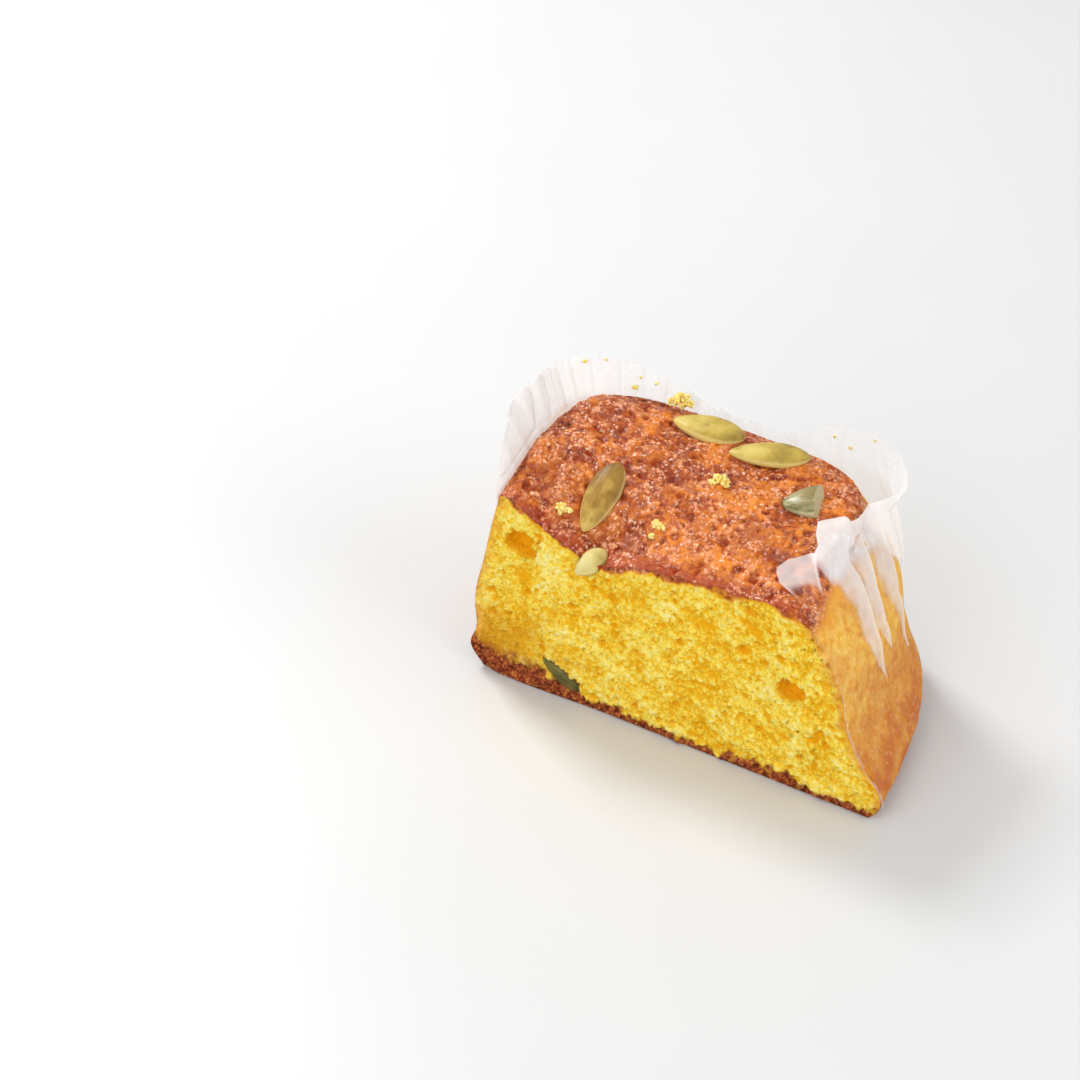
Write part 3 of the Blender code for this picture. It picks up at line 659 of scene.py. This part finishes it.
def pressed_pleat(left, right, soft_width):
    """Points of a pleat on the wall, and its fields: milk, line and shade.

    A pleat that is drawn after the photo turns milky over soft_width, a plain one has None."""
    ways, rows = between(left, right)
    bulge = 0.08 + 0.09 * np.sin(np.pi * ACROSS) * SHARES + 0.10 * ACROSS
    patch, over_dry = paper_point(ways, rows, PAPER_OUT + bulge)
    milk = (0.55 + 0.4 * ACROSS) * milkiness(ways) * (0.7 + 0.3 * smooth(SHARES, 0.0, 0.6))
    shadow = (1 - ACROSS) ** 3
    if soft_width is None:
        milk = milk * (0.55 + 0.45 * smooth(over_dry, -3.0, 1.0))
        shadow = 0.70 * shadow + 0.9 * smooth(ACROSS, 0.90, 1.0)
    else:
        # The soaked part ends in a ragged line that the fold's edge stays clear of
        milk = milk * smooth(ACROSS, 0.0, soft_width)
        ragged = 0.6 * noise(patch.reshape(-1, 3), 1.5, 93).reshape(milk.shape) * (1 - ACROSS) ** 2
        milk = milk + ragged * (milk > 0.01)
        shadow = 0.35 * shadow
    return patch, (np.clip(milk, 0, 1), 0.25 * smooth(ACROSS, 0.93, 1.0), shadow)


def make_paper(material):
    """The paper case: a thin wall round three sides with pressed pleats, and its floor."""
    points, faces, milk, line, shade = [], [], [], [], []

    def add(place, values):
        first = len(points)
        points.extend(place.reshape(-1, 3))
        faces.extend(grid_faces(first, *place.shape[:2]))
        for store, value in zip((milk, line, shade), values):
            store.extend(np.broadcast_to(value, place.shape[:2]).ravel())

    way = np.concatenate([np.linspace(0, 0.26, RIGHT_COLUMNS), np.linspace(0.26, 1, SHEET_COLUMNS)[1:]])
    rows = np.concatenate([np.linspace(0, 1, WALL_ROWS + 1), 1 + np.linspace(0, 1, FREE_ROWS + 1)[1:]])
    rows = rows[:, None]
    edge_row = np.interp(way, *np.array(TORN_EDGE).T)
    high = np.where(rows > 1, 1 + (rows - 1) * (edge_row - 1), rows)
    sheet, above = paper_point(way + 0 * high, high, PAPER_OUT)
    flat = sheet.reshape(-1, 3)
    above = above + (1.1 * noise(flat, 3.4, 91) + 0.7 * noise(flat, 1.3, 92)).reshape(above.shape)
    flap, crease = flap_share(way, high)
    dry = smooth(above, -0.7, 0.7) * milkiness(way) * smooth(way, 0.08, 0.11)
    dry = np.maximum(dry, FLAP_MILK * flap)
    sheet[0, :, 2] = GROUND
    sheet[:, [0, -1], 1] -= ENDS_OUT
    end_line = 0.6 * (1 - smooth(120 * way, 0.1, 0.4)) * (1 - 0.8 * smooth(rows, 0.45, 0.8))
    # Thin fold lines on the free part are painted in as lines of shade
    fold_shade_lines = sum(np.exp(-((way - spot) / half) ** 2) for spot, half in FOLD_SHADE_LINES)
    add(sheet, (dry, np.maximum(end_line, crease), 0.45 * fold_shade_lines * smooth(high, 1.0, 1.15)))

    for (left, right), soft_width in zip(PLEATS, PLEAT_SOFT):
        add(*pressed_pleat(left, right, soft_width))
    for tip, low, left, right in PLAIN_PLEATS:
        add(*pressed_pleat([(tip, low), (left, 2.0)], [(tip, low), (right, 2.0)], None))
    # The inner folds get painted shade along their edges
    fold_edge_shade = 1 - smooth(ACROSS, 0.0, 0.07) + 0.6 * smooth(ACROSS, 0.93, 1.0) + 0.25 * (1 - ACROSS)
    for left, right in INNER_FOLDS:
        inwards = 0.22 + 0.12 * np.sin(np.pi * ACROSS)
        patch, _ = paper_point(*between(left, right), PAPER_OUT - inwards)
        add(patch, (FOLD_MILK, 0.15, np.clip(fold_edge_shade, 0, 1)))

    # Floor under the cake, in strips between the two halves of the wall's lowest line
    half = len(way) // 2 + 1
    near, far = sheet[0, :half], sheet[0, ::-1][:half]
    floor = near + (far - near) * np.linspace(1, 0, FLOOR_STRIPS + 1)[:, None, None]
    add(floor, (0.0, 0.0, 0.0))
    item = mesh_piece("paper_wrap", points, faces, material, {"milk": milk, "line": line, "shade": shade})
    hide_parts("paper_case")
    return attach(item, "root")


def seed_form(length, width, thickness, stations=56, sides=48):
    """Points, faces and fields of a flat pointed seed along +X with a faint rim round its edge."""
    points = [(-length / 2, 0, 0)]
    along = [-1.0]
    across = [0.0]
    for i in range(1, stations):
        s = -math.cos(math.pi * i / stations)
        broad = width / 2 * (1 - s * s) ** 0.62 * (1 + 0.2 * s)
        thick = thickness / 2 * (1 - s * s) ** 0.5 * (1 + 0.1 * s)
        for j in range(sides):
            turn = 2 * math.pi * j / sides
            y = math.cos(turn)
            z = math.copysign(abs(math.sin(turn)) ** 0.9, math.sin(turn))
            groove = 1 - 0.10 * math.exp(-((abs(y) - 0.90) / 0.05) ** 2)
            points.append((length / 2 * s, broad * y, thick * z * groove))
            along.append(s)
            across.append(abs(y) if abs(y) > abs(s) ** 6 else abs(s) ** 6)
    points.append((length / 2, 0, 0))
    along.append(1.0)
    across.append(0.0)
    faces = []
    for j in range(sides):
        after = (j + 1) % sides
        faces.append((0, 1 + after, 1 + j))
        for i in range(stations - 2):
            low = 1 + i * sides
            high = low + sides
            faces.append((low + j, low + after, high + after, high + j))
        end = 1 + (stations - 2) * sides
        faces.append((end + j, end + after, len(points) - 1))
    return np.array(points), faces, np.array(along), np.array(across)


def frame_along(start, end, up):
    """Matrix whose X runs from start to end, with Z as near up as it can be, at their middle."""
    along = (end - start).normalized()
    side = up.cross(along).normalized()
    over = along.cross(side)
    turn = Matrix((along, side, over)).transposed().to_4x4()
    turn.translation = (start + end) / 2
    return turn


def top_normal(u, v, step=1.5):
    """Upward normal of the baked top, measured over a step to each side."""
    across = float(top_height(u + step, v) - top_height(u - step, v)) / (2 * step)
    away = float(top_height(u, v + step) - top_height(u, v - step)) / (2 * step)
    return Vector((-across, -away, 1)).normalized()


def seed_places():
    """Each seed's name, frame and size."""
    places = []
    for name, tip, blunt, width, thickness, sunk in SEEDS:
        start = Vector((*tip, float(top_height(*tip))))
        end = Vector((*blunt, float(top_height(*blunt))))
        middle = (start + end) / 2
        up = top_normal(middle.x, middle.y)
        turn = frame_along(start, end, up)
        turn.translation = turn.translation + up * (thickness * (0.5 - sunk))
        places.append((name, turn, ((end - start).length, width, thickness)))
    for name, start, end, facing, size in SEED_PIECES:
        turn = frame_along(Vector(start), Vector(end), Vector(facing).normalized())
        places.append((name, turn, size))
    return places


def make_seeds(whole, cut):
    """All seeds and cut pieces of seed, in finer form."""
    for name, turn, size in seed_places():
        points, faces, along, across = seed_form(*size)
        face = np.zeros(len(points))
        if name == "seed_piece_top":
            # Points beyond the knife's plane slide back onto it
            spot = np.array(KNIFE[0])
            facing = np.array(KNIFE[1]) / np.linalg.norm(KNIFE[1])
            beyond = np.clip((points - spot) @ facing, 0, None)
            points = points - np.outer(beyond / facing[0], (1, 0, 0))
            face = smooth(beyond, 0.0, 0.15)
        place = np.array([turn @ Vector(p) for p in points])
        place[:, 2] += CAKE_LIFT
        wobble = 0.09 * noise(place, 2.2, 95) - 0.10
        place = place + wobble[:, None] * np.array(turn.to_3x3().col[2])
        item = mesh_piece(name + "_kernel", place, faces, cut.get(name, whole),
                          {"along": along, "across": across, "face": face, "lengthways": points[:, 0],
                           "sideways": points[:, 1], "through": points[:, 2]}, sharp=60)
        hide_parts(name)
        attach(item, "root")


# Loose crumbs on the top: place along the cut and into the depth, how high they sit, width
CRUMBS = [
    ((-24.8, 4.2, 0.5), 3.0), ((-8.7, 7.0, 0.4), 3.0), ((-4.6, 19.6, 0.5), 3.8), ((-19.7, 34.2, 1.0), 4.4),
    ((-21.2, 33.4, 0.6), 2.2), ((-9.0, 5.4, 0.4), 1.6), ((-5.6, 18.4, 0.4), 1.8),
    ((-23.6, 4.6, 0.4), 1.4), ((-28.4, 33.8, 0.3), 1.4), ((-9.4, 31.6, 0.5), 1.4),
]
# Specks on the free edge of the paper: way round, row, width
PAPER_SPECKS = [(0.718, 1.95, 0.9), (0.692, 1.98, 0.7), (0.644, 1.72, 0.7), (0.621, 1.72, 0.9),
                (0.339, 1.7, 0.8), (0.322, 1.4, 0.8), (0.303, 1.9, 0.6)]
# Largest grain of a crumb, and how many grains make up a crumb as wide as this
GRAIN_SIZE = 0.62
GRAINS = 11
GRAINS_WIDE = 1.6


def make_crumbs(material):
    """Loose crumbs of the yellow inside, each a cluster of small grains, on the top and the paper."""
    work = bmesh.new()
    bmesh.ops.create_icosphere(work, subdivisions=3, radius=1.0)
    ball = np.array([x.co for x in work.verts])
    corners = np.array([[x.index for x in f.verts] for f in work.faces])
    work.free()
    places = [((u, v, float(top_height(u, v)) + CAKE_LIFT + up), wide) for (u, v, up), wide in CRUMBS]
    for way, row, wide in PAPER_SPECKS:
        spot, _ = paper_point(np.array([way]), np.array([row]), PAPER_OUT - 0.5)
        places.append((tuple(spot[0]), wide))
    draw = np.random.default_rng(5)
    points, faces = [], []
    for middle, wide in places:
        count = max(4, int(GRAINS * (wide / GRAINS_WIDE) ** 2))
        for _ in range(count):
            way = draw.normal(size=3)
            way /= np.linalg.norm(way)
            size = min(GRAIN_SIZE, 0.6 * wide) * (0.5 + 0.7 * draw.random())
            spot = way * draw.random() ** 0.45 * (wide - size) / 2 * (1, 0.8, 0.55)
            place = ball + spot + middle
            form = 1 + 0.35 * noise(place, 0.8, 101) + 0.18 * noise(place, 0.35, 103)
            first = len(points)
            points.extend(ball * (size / 2 * form)[:, None] + spot + middle)
            faces.extend((corners + first).tolist())
    item = mesh_piece("loose_crumbs", points, faces, material)
    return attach(item, "root")


def node(tree, kind, inputs=None, **settings):
    """A shader node with its settings, constants and links."""
    made = tree.nodes.new(kind)
    for key, value in settings.items():
        setattr(made, key, value)
    for key, value in (inputs or {}).items():
        if isinstance(value, bpy.types.NodeSocket):
            tree.links.new(value, made.inputs[key])
        else:
            made.inputs[key].default_value = value
    return made


def field(tree, name):
    """A measured field of the mesh."""
    return node(tree, "ShaderNodeAttribute", attribute_name=name).outputs["Fac"]


def grain(tree, size, detail=2.0, rough=0.5):
    """Noise whose lumps are about size millimetres across."""
    place = node(tree, "ShaderNodeTexCoord").outputs["Object"]
    return node(tree, "ShaderNodeTexNoise", {"Vector": place, "Scale": 1000.0 / size, "Detail": detail,
                                             "Roughness": rough}).outputs["Fac"]


def ramp(tree, fac, stops):
    """Colour at fac from a list of (place, colour)."""
    made = node(tree, "ShaderNodeValToRGB", {"Fac": fac})
    band = made.color_ramp.elements
    band[0].position = stops[0][0]
    band[0].color = (*stops[0][1], 1)
    band[1].position = stops[-1][0]
    band[1].color = (*stops[-1][1], 1)
    for place, colour in stops[1:-1]:
        new = band.new(place)
        new.color = (*colour, 1)
    return made.outputs["Color"]


def mix(tree, fac, a, b):
    """Colour a changed by colour b to the share fac."""
    return node(tree, "ShaderNodeMix", {0: fac, 6: a, 7: b}, data_type="RGBA").outputs[2]


def layered(tree, colour, coats):
    """Colour under a list of (share, tint), laid over it in turn."""
    for share, tint in coats:
        colour = mix(tree, share, colour, tint)
    return colour


def span(tree, value, low, high, to_low, to_high):
    """Value moved from one range to another, and kept inside it."""
    made = node(tree, "ShaderNodeMapRange", {"Value": value, "From Min": low, "From Max": high,
                                             "To Min": to_low, "To Max": to_high})
    return made.outputs["Result"]


def joined(tree, operation, first, *others):
    """Values joined in turn by an operation."""
    for other in others:
        first = node(tree, "ShaderNodeMath", {0: first, 1: other}, operation=operation).outputs["Value"]
    return first


def plus(tree, *values):
    """Sum of values."""
    return joined(tree, "ADD", *values)


def times(tree, *values):
    """Product of values."""
    return joined(tree, "MULTIPLY", *values)


def rising(tree, name, low, high, most=1.0):
    """A measured field's rise from low to high, as a share from 0 to most."""
    return span(tree, field(tree, name), low, high, 0.0, most)


def patches(tree, size, detail, rough, low, high, to_low, to_high):
    """Noise of a size, moved from one range to another."""
    return span(tree, grain(tree, size, detail, rough), low, high, to_low, to_high)


def new_material(name):
    """An empty material, and its tree."""
    made = bpy.data.materials.new(name)
    made.use_nodes = True
    made.node_tree.nodes.clear()
    return made, made.node_tree


def surfaced(made, shader):
    """The material, with its shader led to the output."""
    node(made.node_tree, "ShaderNodeOutputMaterial", {"Surface": shader.outputs[0]})
    return made


def bumps(tree, strength, distance, height):
    """Normal of bumps after a height, distance in metres."""
    values = {"Strength": strength, "Distance": distance, "Height": height}
    return node(tree, "ShaderNodeBump", values).outputs["Normal"]


def lumps(tree, size):
    """Distance pattern of random spots about size millimetres apart."""
    place = node(tree, "ShaderNodeTexCoord").outputs["Object"]
    return node(tree, "ShaderNodeTexVoronoi", {"Vector": place, "Scale": 1000.0 / size}).outputs["Distance"]


def spots(tree, size, ragged, least, most, low, high, share):
    """Spots about size millimetres apart with ragged edges: share at their middles, 0 between."""
    edge = patches(tree, ragged, 3.0, 0.6, 0.3, 0.7, least, most)
    return span(tree, plus(tree, lumps(tree, size), edge), low, high, share, 0.0)


CRUMB_STOPS = [(0.20, (0.88, 0.46, 0.010)), (0.44, (0.98, 0.74, 0.085)), (0.72, (1.0, 0.87, 0.33))]
GLAZE_STOPS = [(0.24, (0.14, 0.012, 0.001)), (0.5, (0.40, 0.064, 0.004)), (0.78, (0.80, 0.24, 0.022))]
SKIN_STOPS = [(0.30, (0.74, 0.28, 0.018)), (0.50, (0.98, 0.56, 0.075)), (0.70, (1.0, 0.76, 0.18))]
FOOT_STOPS = [(0.28, (0.11, 0.020, 0.008)), (0.48, (0.38, 0.085, 0.030)), (0.66, (0.72, 0.27, 0.06))]
# Tints laid over the crumb, the glaze, the skin, and where the glaze begins. The first two are
# painted shade in the crumb's pores and hollows, the third darkens the crumb towards the lower left,
# the fourth is painted shade in the glaze's pits, and the two after the cut edge tint are painted
# glints on the glaze
PORE_SHADE = (0.80, 0.40, 0.008, 1)
HOLLOW_SHADE = (0.86, 0.38, 0.006, 1)
LOWER_LEFT_TINT = (0.66, 0.30, 0.010, 1)
PIT_SHADE = (0.36, 0.040, 0.002, 1)
DARK_PATCH = (0.30, 0.040, 0.003, 1)
CUT_EDGE = (0.38, 0.042, 0.010, 1)
PEACH_GLINT = (0.96, 0.42, 0.20, 1)
PALE_GLINT = (1.0, 0.68, 0.50, 1)
BROWN_PATCH = (0.68, 0.24, 0.040, 1)
BLUSH = (0.56, 0.135, 0.018, 1)
PALE_SPOT = (0.98, 0.72, 0.30, 1)
GLAZE_SEAM = (0.86, 0.34, 0.02, 1)


def cake_material():
    """Yellow crumb, glazed brown top, tan skin and brown foot, after the mesh's own fields."""
    made, tree = new_material("cake_bake")
    fine = grain(tree, 0.35, 3.0, 0.65)
    grit = lumps(tree, 0.62)
    # The crumb's tone: random grain, painted light on raised crumb and painted shade on sunken crumb,
    # lighter grain middles with painted shade in the cracks between them, and wide random patches
    tone = plus(tree, grain(tree, 1.1, 4.0, 0.62), span(tree, field(tree, "up"), -0.9, 0.6, -0.30, 0.20),
                span(tree, fine, 0.3, 0.7, -0.15, 0.13), span(tree, grit, 0.05, 0.65, 0.11, -0.10),
                patches(tree, 5.0, 3.0, 0.5, 0.35, 0.65, -0.06, 0.05))
    # Fine pores painted as small spots of shade, most of them where the crumb is coarse
    pores = times(tree, spots(tree, 1.15, 0.7, -0.16, 0.16, 0.06, 0.26, 0.75),
                  patches(tree, 3.4, 3.0, 0.5, 0.42, 0.58, 0.25, 1.0))
    # Laid over the tone: painted shade in the pores, painted shade of a deeper orange down in the hollows
    # and holes, and a darker, more orange tint towards the lower left of the cut
    crumb = layered(tree, ramp(tree, tone, CRUMB_STOPS), [
        (pores, PORE_SHADE), (rising(tree, "deep", 0.25, 1.5, 0.80), HOLLOW_SHADE),
        (rising(tree, "corner", 0.0, 1.0, 0.95), LOWER_LEFT_TINT)])

    # Painted glints on the glaze, in drifts: soft peach lumps of painted highlight, and fine pale painted
    # highlights on them
    glint_drift = patches(tree, 3.2, 4.0, 0.62, 0.43, 0.54, 0.0, 1.0)
    soft = times(tree, spots(tree, 1.0, 0.9, -0.34, 0.32, 0.05, 0.52, 0.80), glint_drift)
    glint_specks = times(tree, spots(tree, 0.55, 0.7, -0.30, 0.32, 0.10, 0.32, 0.85), glint_drift)
    # The glaze's tone: random grain, painted light on its ridges and painted shade in its hollows; over it,
    # painted shade deep in the pits
    tone = plus(tree, grain(tree, 1.3, 4.0, 0.62), span(tree, field(tree, "up"), -0.7, 0.5, -0.34, 0.27))
    glaze = layered(tree, ramp(tree, tone, GLAZE_STOPS), [
        (rising(tree, "deep", 0.15, 0.9, 0.75), PIT_SHADE),
        (patches(tree, 9.0, 2.0, 0.5, 0.42, 0.62, 0.0, 0.55), DARK_PATCH),
        (rising(tree, "front", 0.0, 1.0, 0.75), CUT_EDGE), (soft, PEACH_GLINT), (glint_specks, PALE_GLINT)])

    # The skin turns redder and darker towards its bottom, in patches
    blush = times(tree, span(tree, field(tree, "low"), 0.0, 1.0, 0.18, 1.0),
                  patches(tree, 4.0, 4.0, 0.6, 0.38, 0.62, 0.6, 1.0))
    skin = layered(tree, ramp(tree, grain(tree, 1.7, 5.0, 0.68), SKIN_STOPS), [
        (patches(tree, 9.0, 2.0, 0.5, 0.45, 0.65, 0.0, 0.4), BROWN_PATCH),
        (span(tree, blush, 0.0, 0.9, 0.0, 0.95), BLUSH),
        (span(tree, lumps(tree, 1.2), 0.05, 0.35, 0.30, 0.0), PALE_SPOT)])
    # The foot's tone: random grain, and lighter grain middles with painted shade in the cracks between them
    tone = plus(tree, grain(tree, 1.0, 4.0, 0.65), span(tree, grit, 0.05, 0.65, 0.10, -0.12))
    foot = ramp(tree, tone, FOOT_STOPS)
    colour = layered(tree, crumb, [
        (field(tree, "side"), skin), (rising(tree, "crust", 0.0, 0.5), GLAZE_SEAM),
        (rising(tree, "crust", 0.35, 0.9), glaze), (field(tree, "foot"), foot)])

    wet = plus(tree, times(tree, lumps(tree, 0.8), -0.8), grain(tree, 0.7, 2.0, 0.55))
    coat = times(tree, rising(tree, "crust", 0.3, 1.0), patches(tree, 2.2, 2.0, 0.5, 0.35, 0.6, 0.35, 0.9))
    return surfaced(made, node(tree, "ShaderNodeBsdfPrincipled", {
        "Base Color": colour, "Roughness": 0.7, "Specular IOR Level": 0.04, "Coat Weight": coat,
        "Coat Roughness": 0.06, "Coat IOR": 1.5,
        "Normal": bumps(tree, 0.8, 0.00034, plus(tree, times(tree, grit, -1.0), fine)),
        "Coat Normal": bumps(tree, 0.9, 0.0005, wet), "Subsurface Weight": 0.12,
        "Subsurface Radius": (1.0, 0.5, 0.12), "Subsurface Scale": 0.0005}))


def crumb_material():
    """Loose yellow crumbs."""
    made, tree = new_material("loose_crumb")
    colour = ramp(tree, grain(tree, 0.8, 4.0, 0.65), [(0.3, (0.93, 0.58, 0.05)), (0.7, (0.99, 0.86, 0.40))])
    return surfaced(made, node(tree, "ShaderNodeBsdfPrincipled", {
        "Base Color": colour, "Roughness": 0.8, "Specular IOR Level": 0.1,
        "Normal": bumps(tree, 0.8, 0.00025, grain(tree, 0.3, 2.0, 0.7)),
        "Subsurface Weight": 0.3, "Subsurface Radius": (1.0, 0.5, 0.12), "Subsurface Scale": 0.0005}))


# Seeds' colours: stops from dark to light, edge, strength of the streaks, and sugar glaze
KERNELS = {
    "kernel_skin": ([(0.30, (0.24, 0.15, 0.025)), (0.5, (0.48, 0.34, 0.060)), (0.7, (0.64, 0.50, 0.13))],
                    (0.70, 0.54, 0.18, 1), 0.4, 0.10),
    "kernel_brown": ([(0.30, (0.11, 0.045, 0.008)), (0.5, (0.33, 0.18, 0.024)), (0.7, (0.60, 0.42, 0.10))],
                     (0.70, 0.52, 0.20, 1), 0.4, 0.10),
    "kernel_dark": ([(0.30, (0.075, 0.078, 0.028)), (0.5, (0.18, 0.17, 0.065)), (0.7, (0.40, 0.37, 0.18))],
                    (0.52, 0.47, 0.26, 1), 1.8, 0.4),
    "kernel_pale": ([(0.30, (0.42, 0.31, 0.07)), (0.5, (0.62, 0.50, 0.17)), (0.7, (0.76, 0.66, 0.30))],
                    (0.46, 0.33, 0.08, 1), 0.4, 0.10),
    "kernel_baked": ([(0.30, (0.030, 0.028, 0.006)), (0.5, (0.11, 0.09, 0.015)), (0.7, (0.30, 0.23, 0.035))],
                     (0.28, 0.20, 0.03, 1), 0.4, 0.10),
}
SEED_BLOTCH = (0.28, 0.17, 0.035, 1)
CUT_KERNEL = (0.46, 0.40, 0.22, 1)


def seed_material(name):
    """Seed skin: streaks along the seed, a paler edge and a thin sugar glaze."""
    stops, edge_colour, streaks, coat = KERNELS[name]
    made, tree = new_material(name)
    own = node(tree, "ShaderNodeCombineXYZ", {"X": field(tree, "lengthways"), "Y": field(tree, "sideways"),
                                              "Z": field(tree, "through")}).outputs["Vector"]
    streak = node(tree, "ShaderNodeMapping", {"Vector": own, "Scale": (0.12, 1.0, 1.0)}).outputs["Vector"]
    streak = node(tree, "ShaderNodeTexNoise", {"Vector": streak, "Scale": 1.6, "Detail": 3.0}).outputs["Fac"]
    mottle = plus(tree, patches(tree, 3.2, 3.0, 0.55, 0.3, 0.7, 0.38, 0.62),
                  span(tree, streak, 0.3, 0.7, -0.10 * streaks, 0.10 * streaks))
    tone = plus(tree, span(tree, field(tree, "along"), -1.0, 1.0, 0.14, -0.14), mottle)
    colour = layered(tree, ramp(tree, tone, stops), [
        (patches(tree, 4.5, 4.0, 0.6, 0.54, 0.70, 0.0, 0.55), SEED_BLOTCH),
        (rising(tree, "across", 0.84, 0.97, 0.7), edge_colour),
        (rising(tree, "face", 0.1, 0.9, 0.95), CUT_KERNEL)])
    return surfaced(made, node(tree, "ShaderNodeBsdfPrincipled", {
        "Base Color": colour, "Roughness": 0.50, "Specular IOR Level": 0.25, "Coat Weight": coat,
        "Coat Roughness": 0.25,
        "Normal": bumps(tree, 0.5, 0.0002, plus(tree, streak, grain(tree, 0.8, 3.0, 0.6)))}))


PAPER_SHADE = (0.58, 0.50, 0.46, 1)
# Share of light that the paper lets through softly, and its opacity where soaked and where dry
SOFT_LIGHT = 0.18
SOAKED = 0.03
DRY = 0.80


def paper_material():
    """Thin greaseproof paper: milky where it is dry, clear where fat has soaked it."""
    made, tree = new_material("greaseproof_paper")
    fibre = grain(tree, 1.5, 3.0, 0.6)
    colour = ramp(tree, fibre, [(0.3, (0.95, 0.94, 0.93)), (0.7, (0.98, 0.975, 0.97))])
    colour = mix(tree, rising(tree, "shade", 0.0, 1.0, 0.8), colour, PAPER_SHADE)
    face = node(tree, "ShaderNodeBsdfPrincipled", {
        "Base Color": colour, "Roughness": 0.4, "Specular IOR Level": 0.4,
        "Normal": bumps(tree, 0.15, 0.0002, grain(tree, 3.0, 2.0, 0.5))})
    through_light = node(tree, "ShaderNodeBsdfTranslucent", {"Color": colour})
    sheet = node(tree, "ShaderNodeMixShader", {
        0: SOFT_LIGHT, 1: face.outputs[0], 2: through_light.outputs[0]})
    clear = node(tree, "ShaderNodeBsdfTransparent", {"Color": (1, 1, 1, 1)})
    opacity = plus(tree, span(tree, field(tree, "milk"), 0.0, 1.0, SOAKED, DRY),
                   span(tree, fibre, 0.3, 0.7, -0.02, 0.03), rising(tree, "line", 0.0, 1.0, 0.4))
    return surfaced(made, node(tree, "ShaderNodeMixShader", {
        0: opacity, 1: clear.outputs[0], 2: sheet.outputs[0]}))


FLOOR_REACH = 3.0
FLOOR_STOPS = [(0.3, (0.645, 0.65, 0.655)), (0.7, (0.66, 0.665, 0.67))]


def floor_material():
    """Plain pale floor."""
    made, tree = new_material("pale_floor")
    colour = ramp(tree, grain(tree, 60.0, 2.0, 0.5), FLOOR_STOPS)
    return surfaced(made, node(tree, "ShaderNodeBsdfPrincipled", {"Base Color": colour, "Roughness": 0.35}))


def make_floor():
    """A large flat floor at the height the part stands on."""
    mesh = bpy.data.meshes.new("floor")
    far = FLOOR_REACH
    mesh.from_pydata([(-far, -far, 0), (far, -far, 0), (far, far, 0), (-far, far, 0)], [], [(0, 1, 2, 3)])
    mesh.materials.append(floor_material())
    floor = bpy.data.objects.new("floor", mesh)
    bpy.context.scene.collection.objects.link(floor)


# The camera: pitch, turn and roll in degrees, its field of view, its distance in millimetres
# from the middle of the cut's lower edge, and how far that point lies right of and above the axis
CAMERA_PITCH = 37.0
CAMERA_TURN = 31.0
CAMERA_ROLL = 0.6
CAMERA_VIEW = 22.0
CAMERA_DEPTH = 448.1
CAMERA_RIGHT = 22.1
CAMERA_UP = -32.4
CAMERA_RAISE = 0.35


def view_axes():
    """The camera's right, up and forward directions in the part's frame."""
    pitch, turn, roll = (math.radians(x) for x in (CAMERA_PITCH, CAMERA_TURN, CAMERA_ROLL))
    right = np.array((1.0, 0.0, 0.0))
    forward = np.array((0.0, math.cos(pitch), -math.sin(pitch)))
    up = np.array((0.0, math.sin(pitch), math.cos(pitch)))
    c, s = math.cos(turn), math.sin(turn)
    body = np.array(((c, -s, 0), (s, c, 0), (0, 0, 1)))
    rolled = math.cos(roll) * right + math.sin(roll) * up
    upright = -math.sin(roll) * right + math.cos(roll) * up
    return body @ rolled, body @ upright, body @ forward, body


def make_camera():
    """The camera, as the photo was taken."""
    right, up, forward, _ = view_axes()
    place = -(CAMERA_RIGHT * right + CAMERA_UP * up + CAMERA_DEPTH * forward)
    place = (place + (0, 0, CAMERA_RAISE) - ORIGIN) * MM
    data = bpy.data.cameras.new("view")
    data.sensor_width = 36.0
    data.lens = 18.0 / math.tan(math.radians(CAMERA_VIEW) / 2)
    data.clip_start = 0.01
    data.clip_end = 20.0
    camera = bpy.data.objects.new("view", data)
    turn = Matrix((right, up, -forward)).transposed().to_4x4()
    turn.translation = place
    camera.matrix_world = turn
    bpy.context.scene.collection.objects.link(camera)
    bpy.context.scene.camera = camera


# The lights: right, away and up of the way the light travels, distance and size in metres, power
LIGHTS = {
    "key": ((0.62, -0.78, -0.97), 0.6, 0.15, 2.3),
    "front_left": ((0.7, 0.9, -0.7), 0.8, 0.6, 2.8),
    "front_right": ((-0.9, 0.6, -0.6), 0.8, 0.6, 2.6),
}
LIT_POINT = Vector((0, 0, 0.02))
SURROUNDINGS = (1.0, 0.995, 0.985, 1)
SURROUNDINGS_STRENGTH = 0.60


def make_light(name, travel, distance, size, power):
    """Soft square light that shines on the part."""
    body = view_axes()[3]
    way = Vector(body @ np.array(travel, float)).normalized()
    data = bpy.data.lights.new(name, "AREA")
    data.shape = "SQUARE"
    data.size = size
    data.energy = power
    light = bpy.data.objects.new(name, data)
    turn = way.to_track_quat("-Z", "Y").to_matrix().to_4x4()
    light.matrix_world = Matrix.Translation(LIT_POINT - way * distance) @ turn
    bpy.context.scene.collection.objects.link(light)


def make_world():
    """Even bright surroundings."""
    world = bpy.data.worlds.new("studio")
    world.use_nodes = True
    back = world.node_tree.nodes["Background"]
    back.inputs["Color"].default_value = SURROUNDINGS
    back.inputs["Strength"].default_value = SURROUNDINGS_STRENGTH
    bpy.context.scene.world = world
    bpy.context.scene.view_settings.view_transform = "Standard"
    bpy.context.scene.view_settings.look = "None"


make_cake(cake_material())
make_paper(paper_material())
make_seeds(seed_material("kernel_skin"), {
    "seed_front": seed_material("kernel_brown"), "seed_piece_top": seed_material("kernel_dark"),
    "seed_piece_edge": seed_material("kernel_pale"), "seed_piece_base": seed_material("kernel_baked")})
make_crumbs(crumb_material())
make_floor()
make_camera()
for light_name, light_values in LIGHTS.items():
    make_light(light_name, *light_values)
make_world()
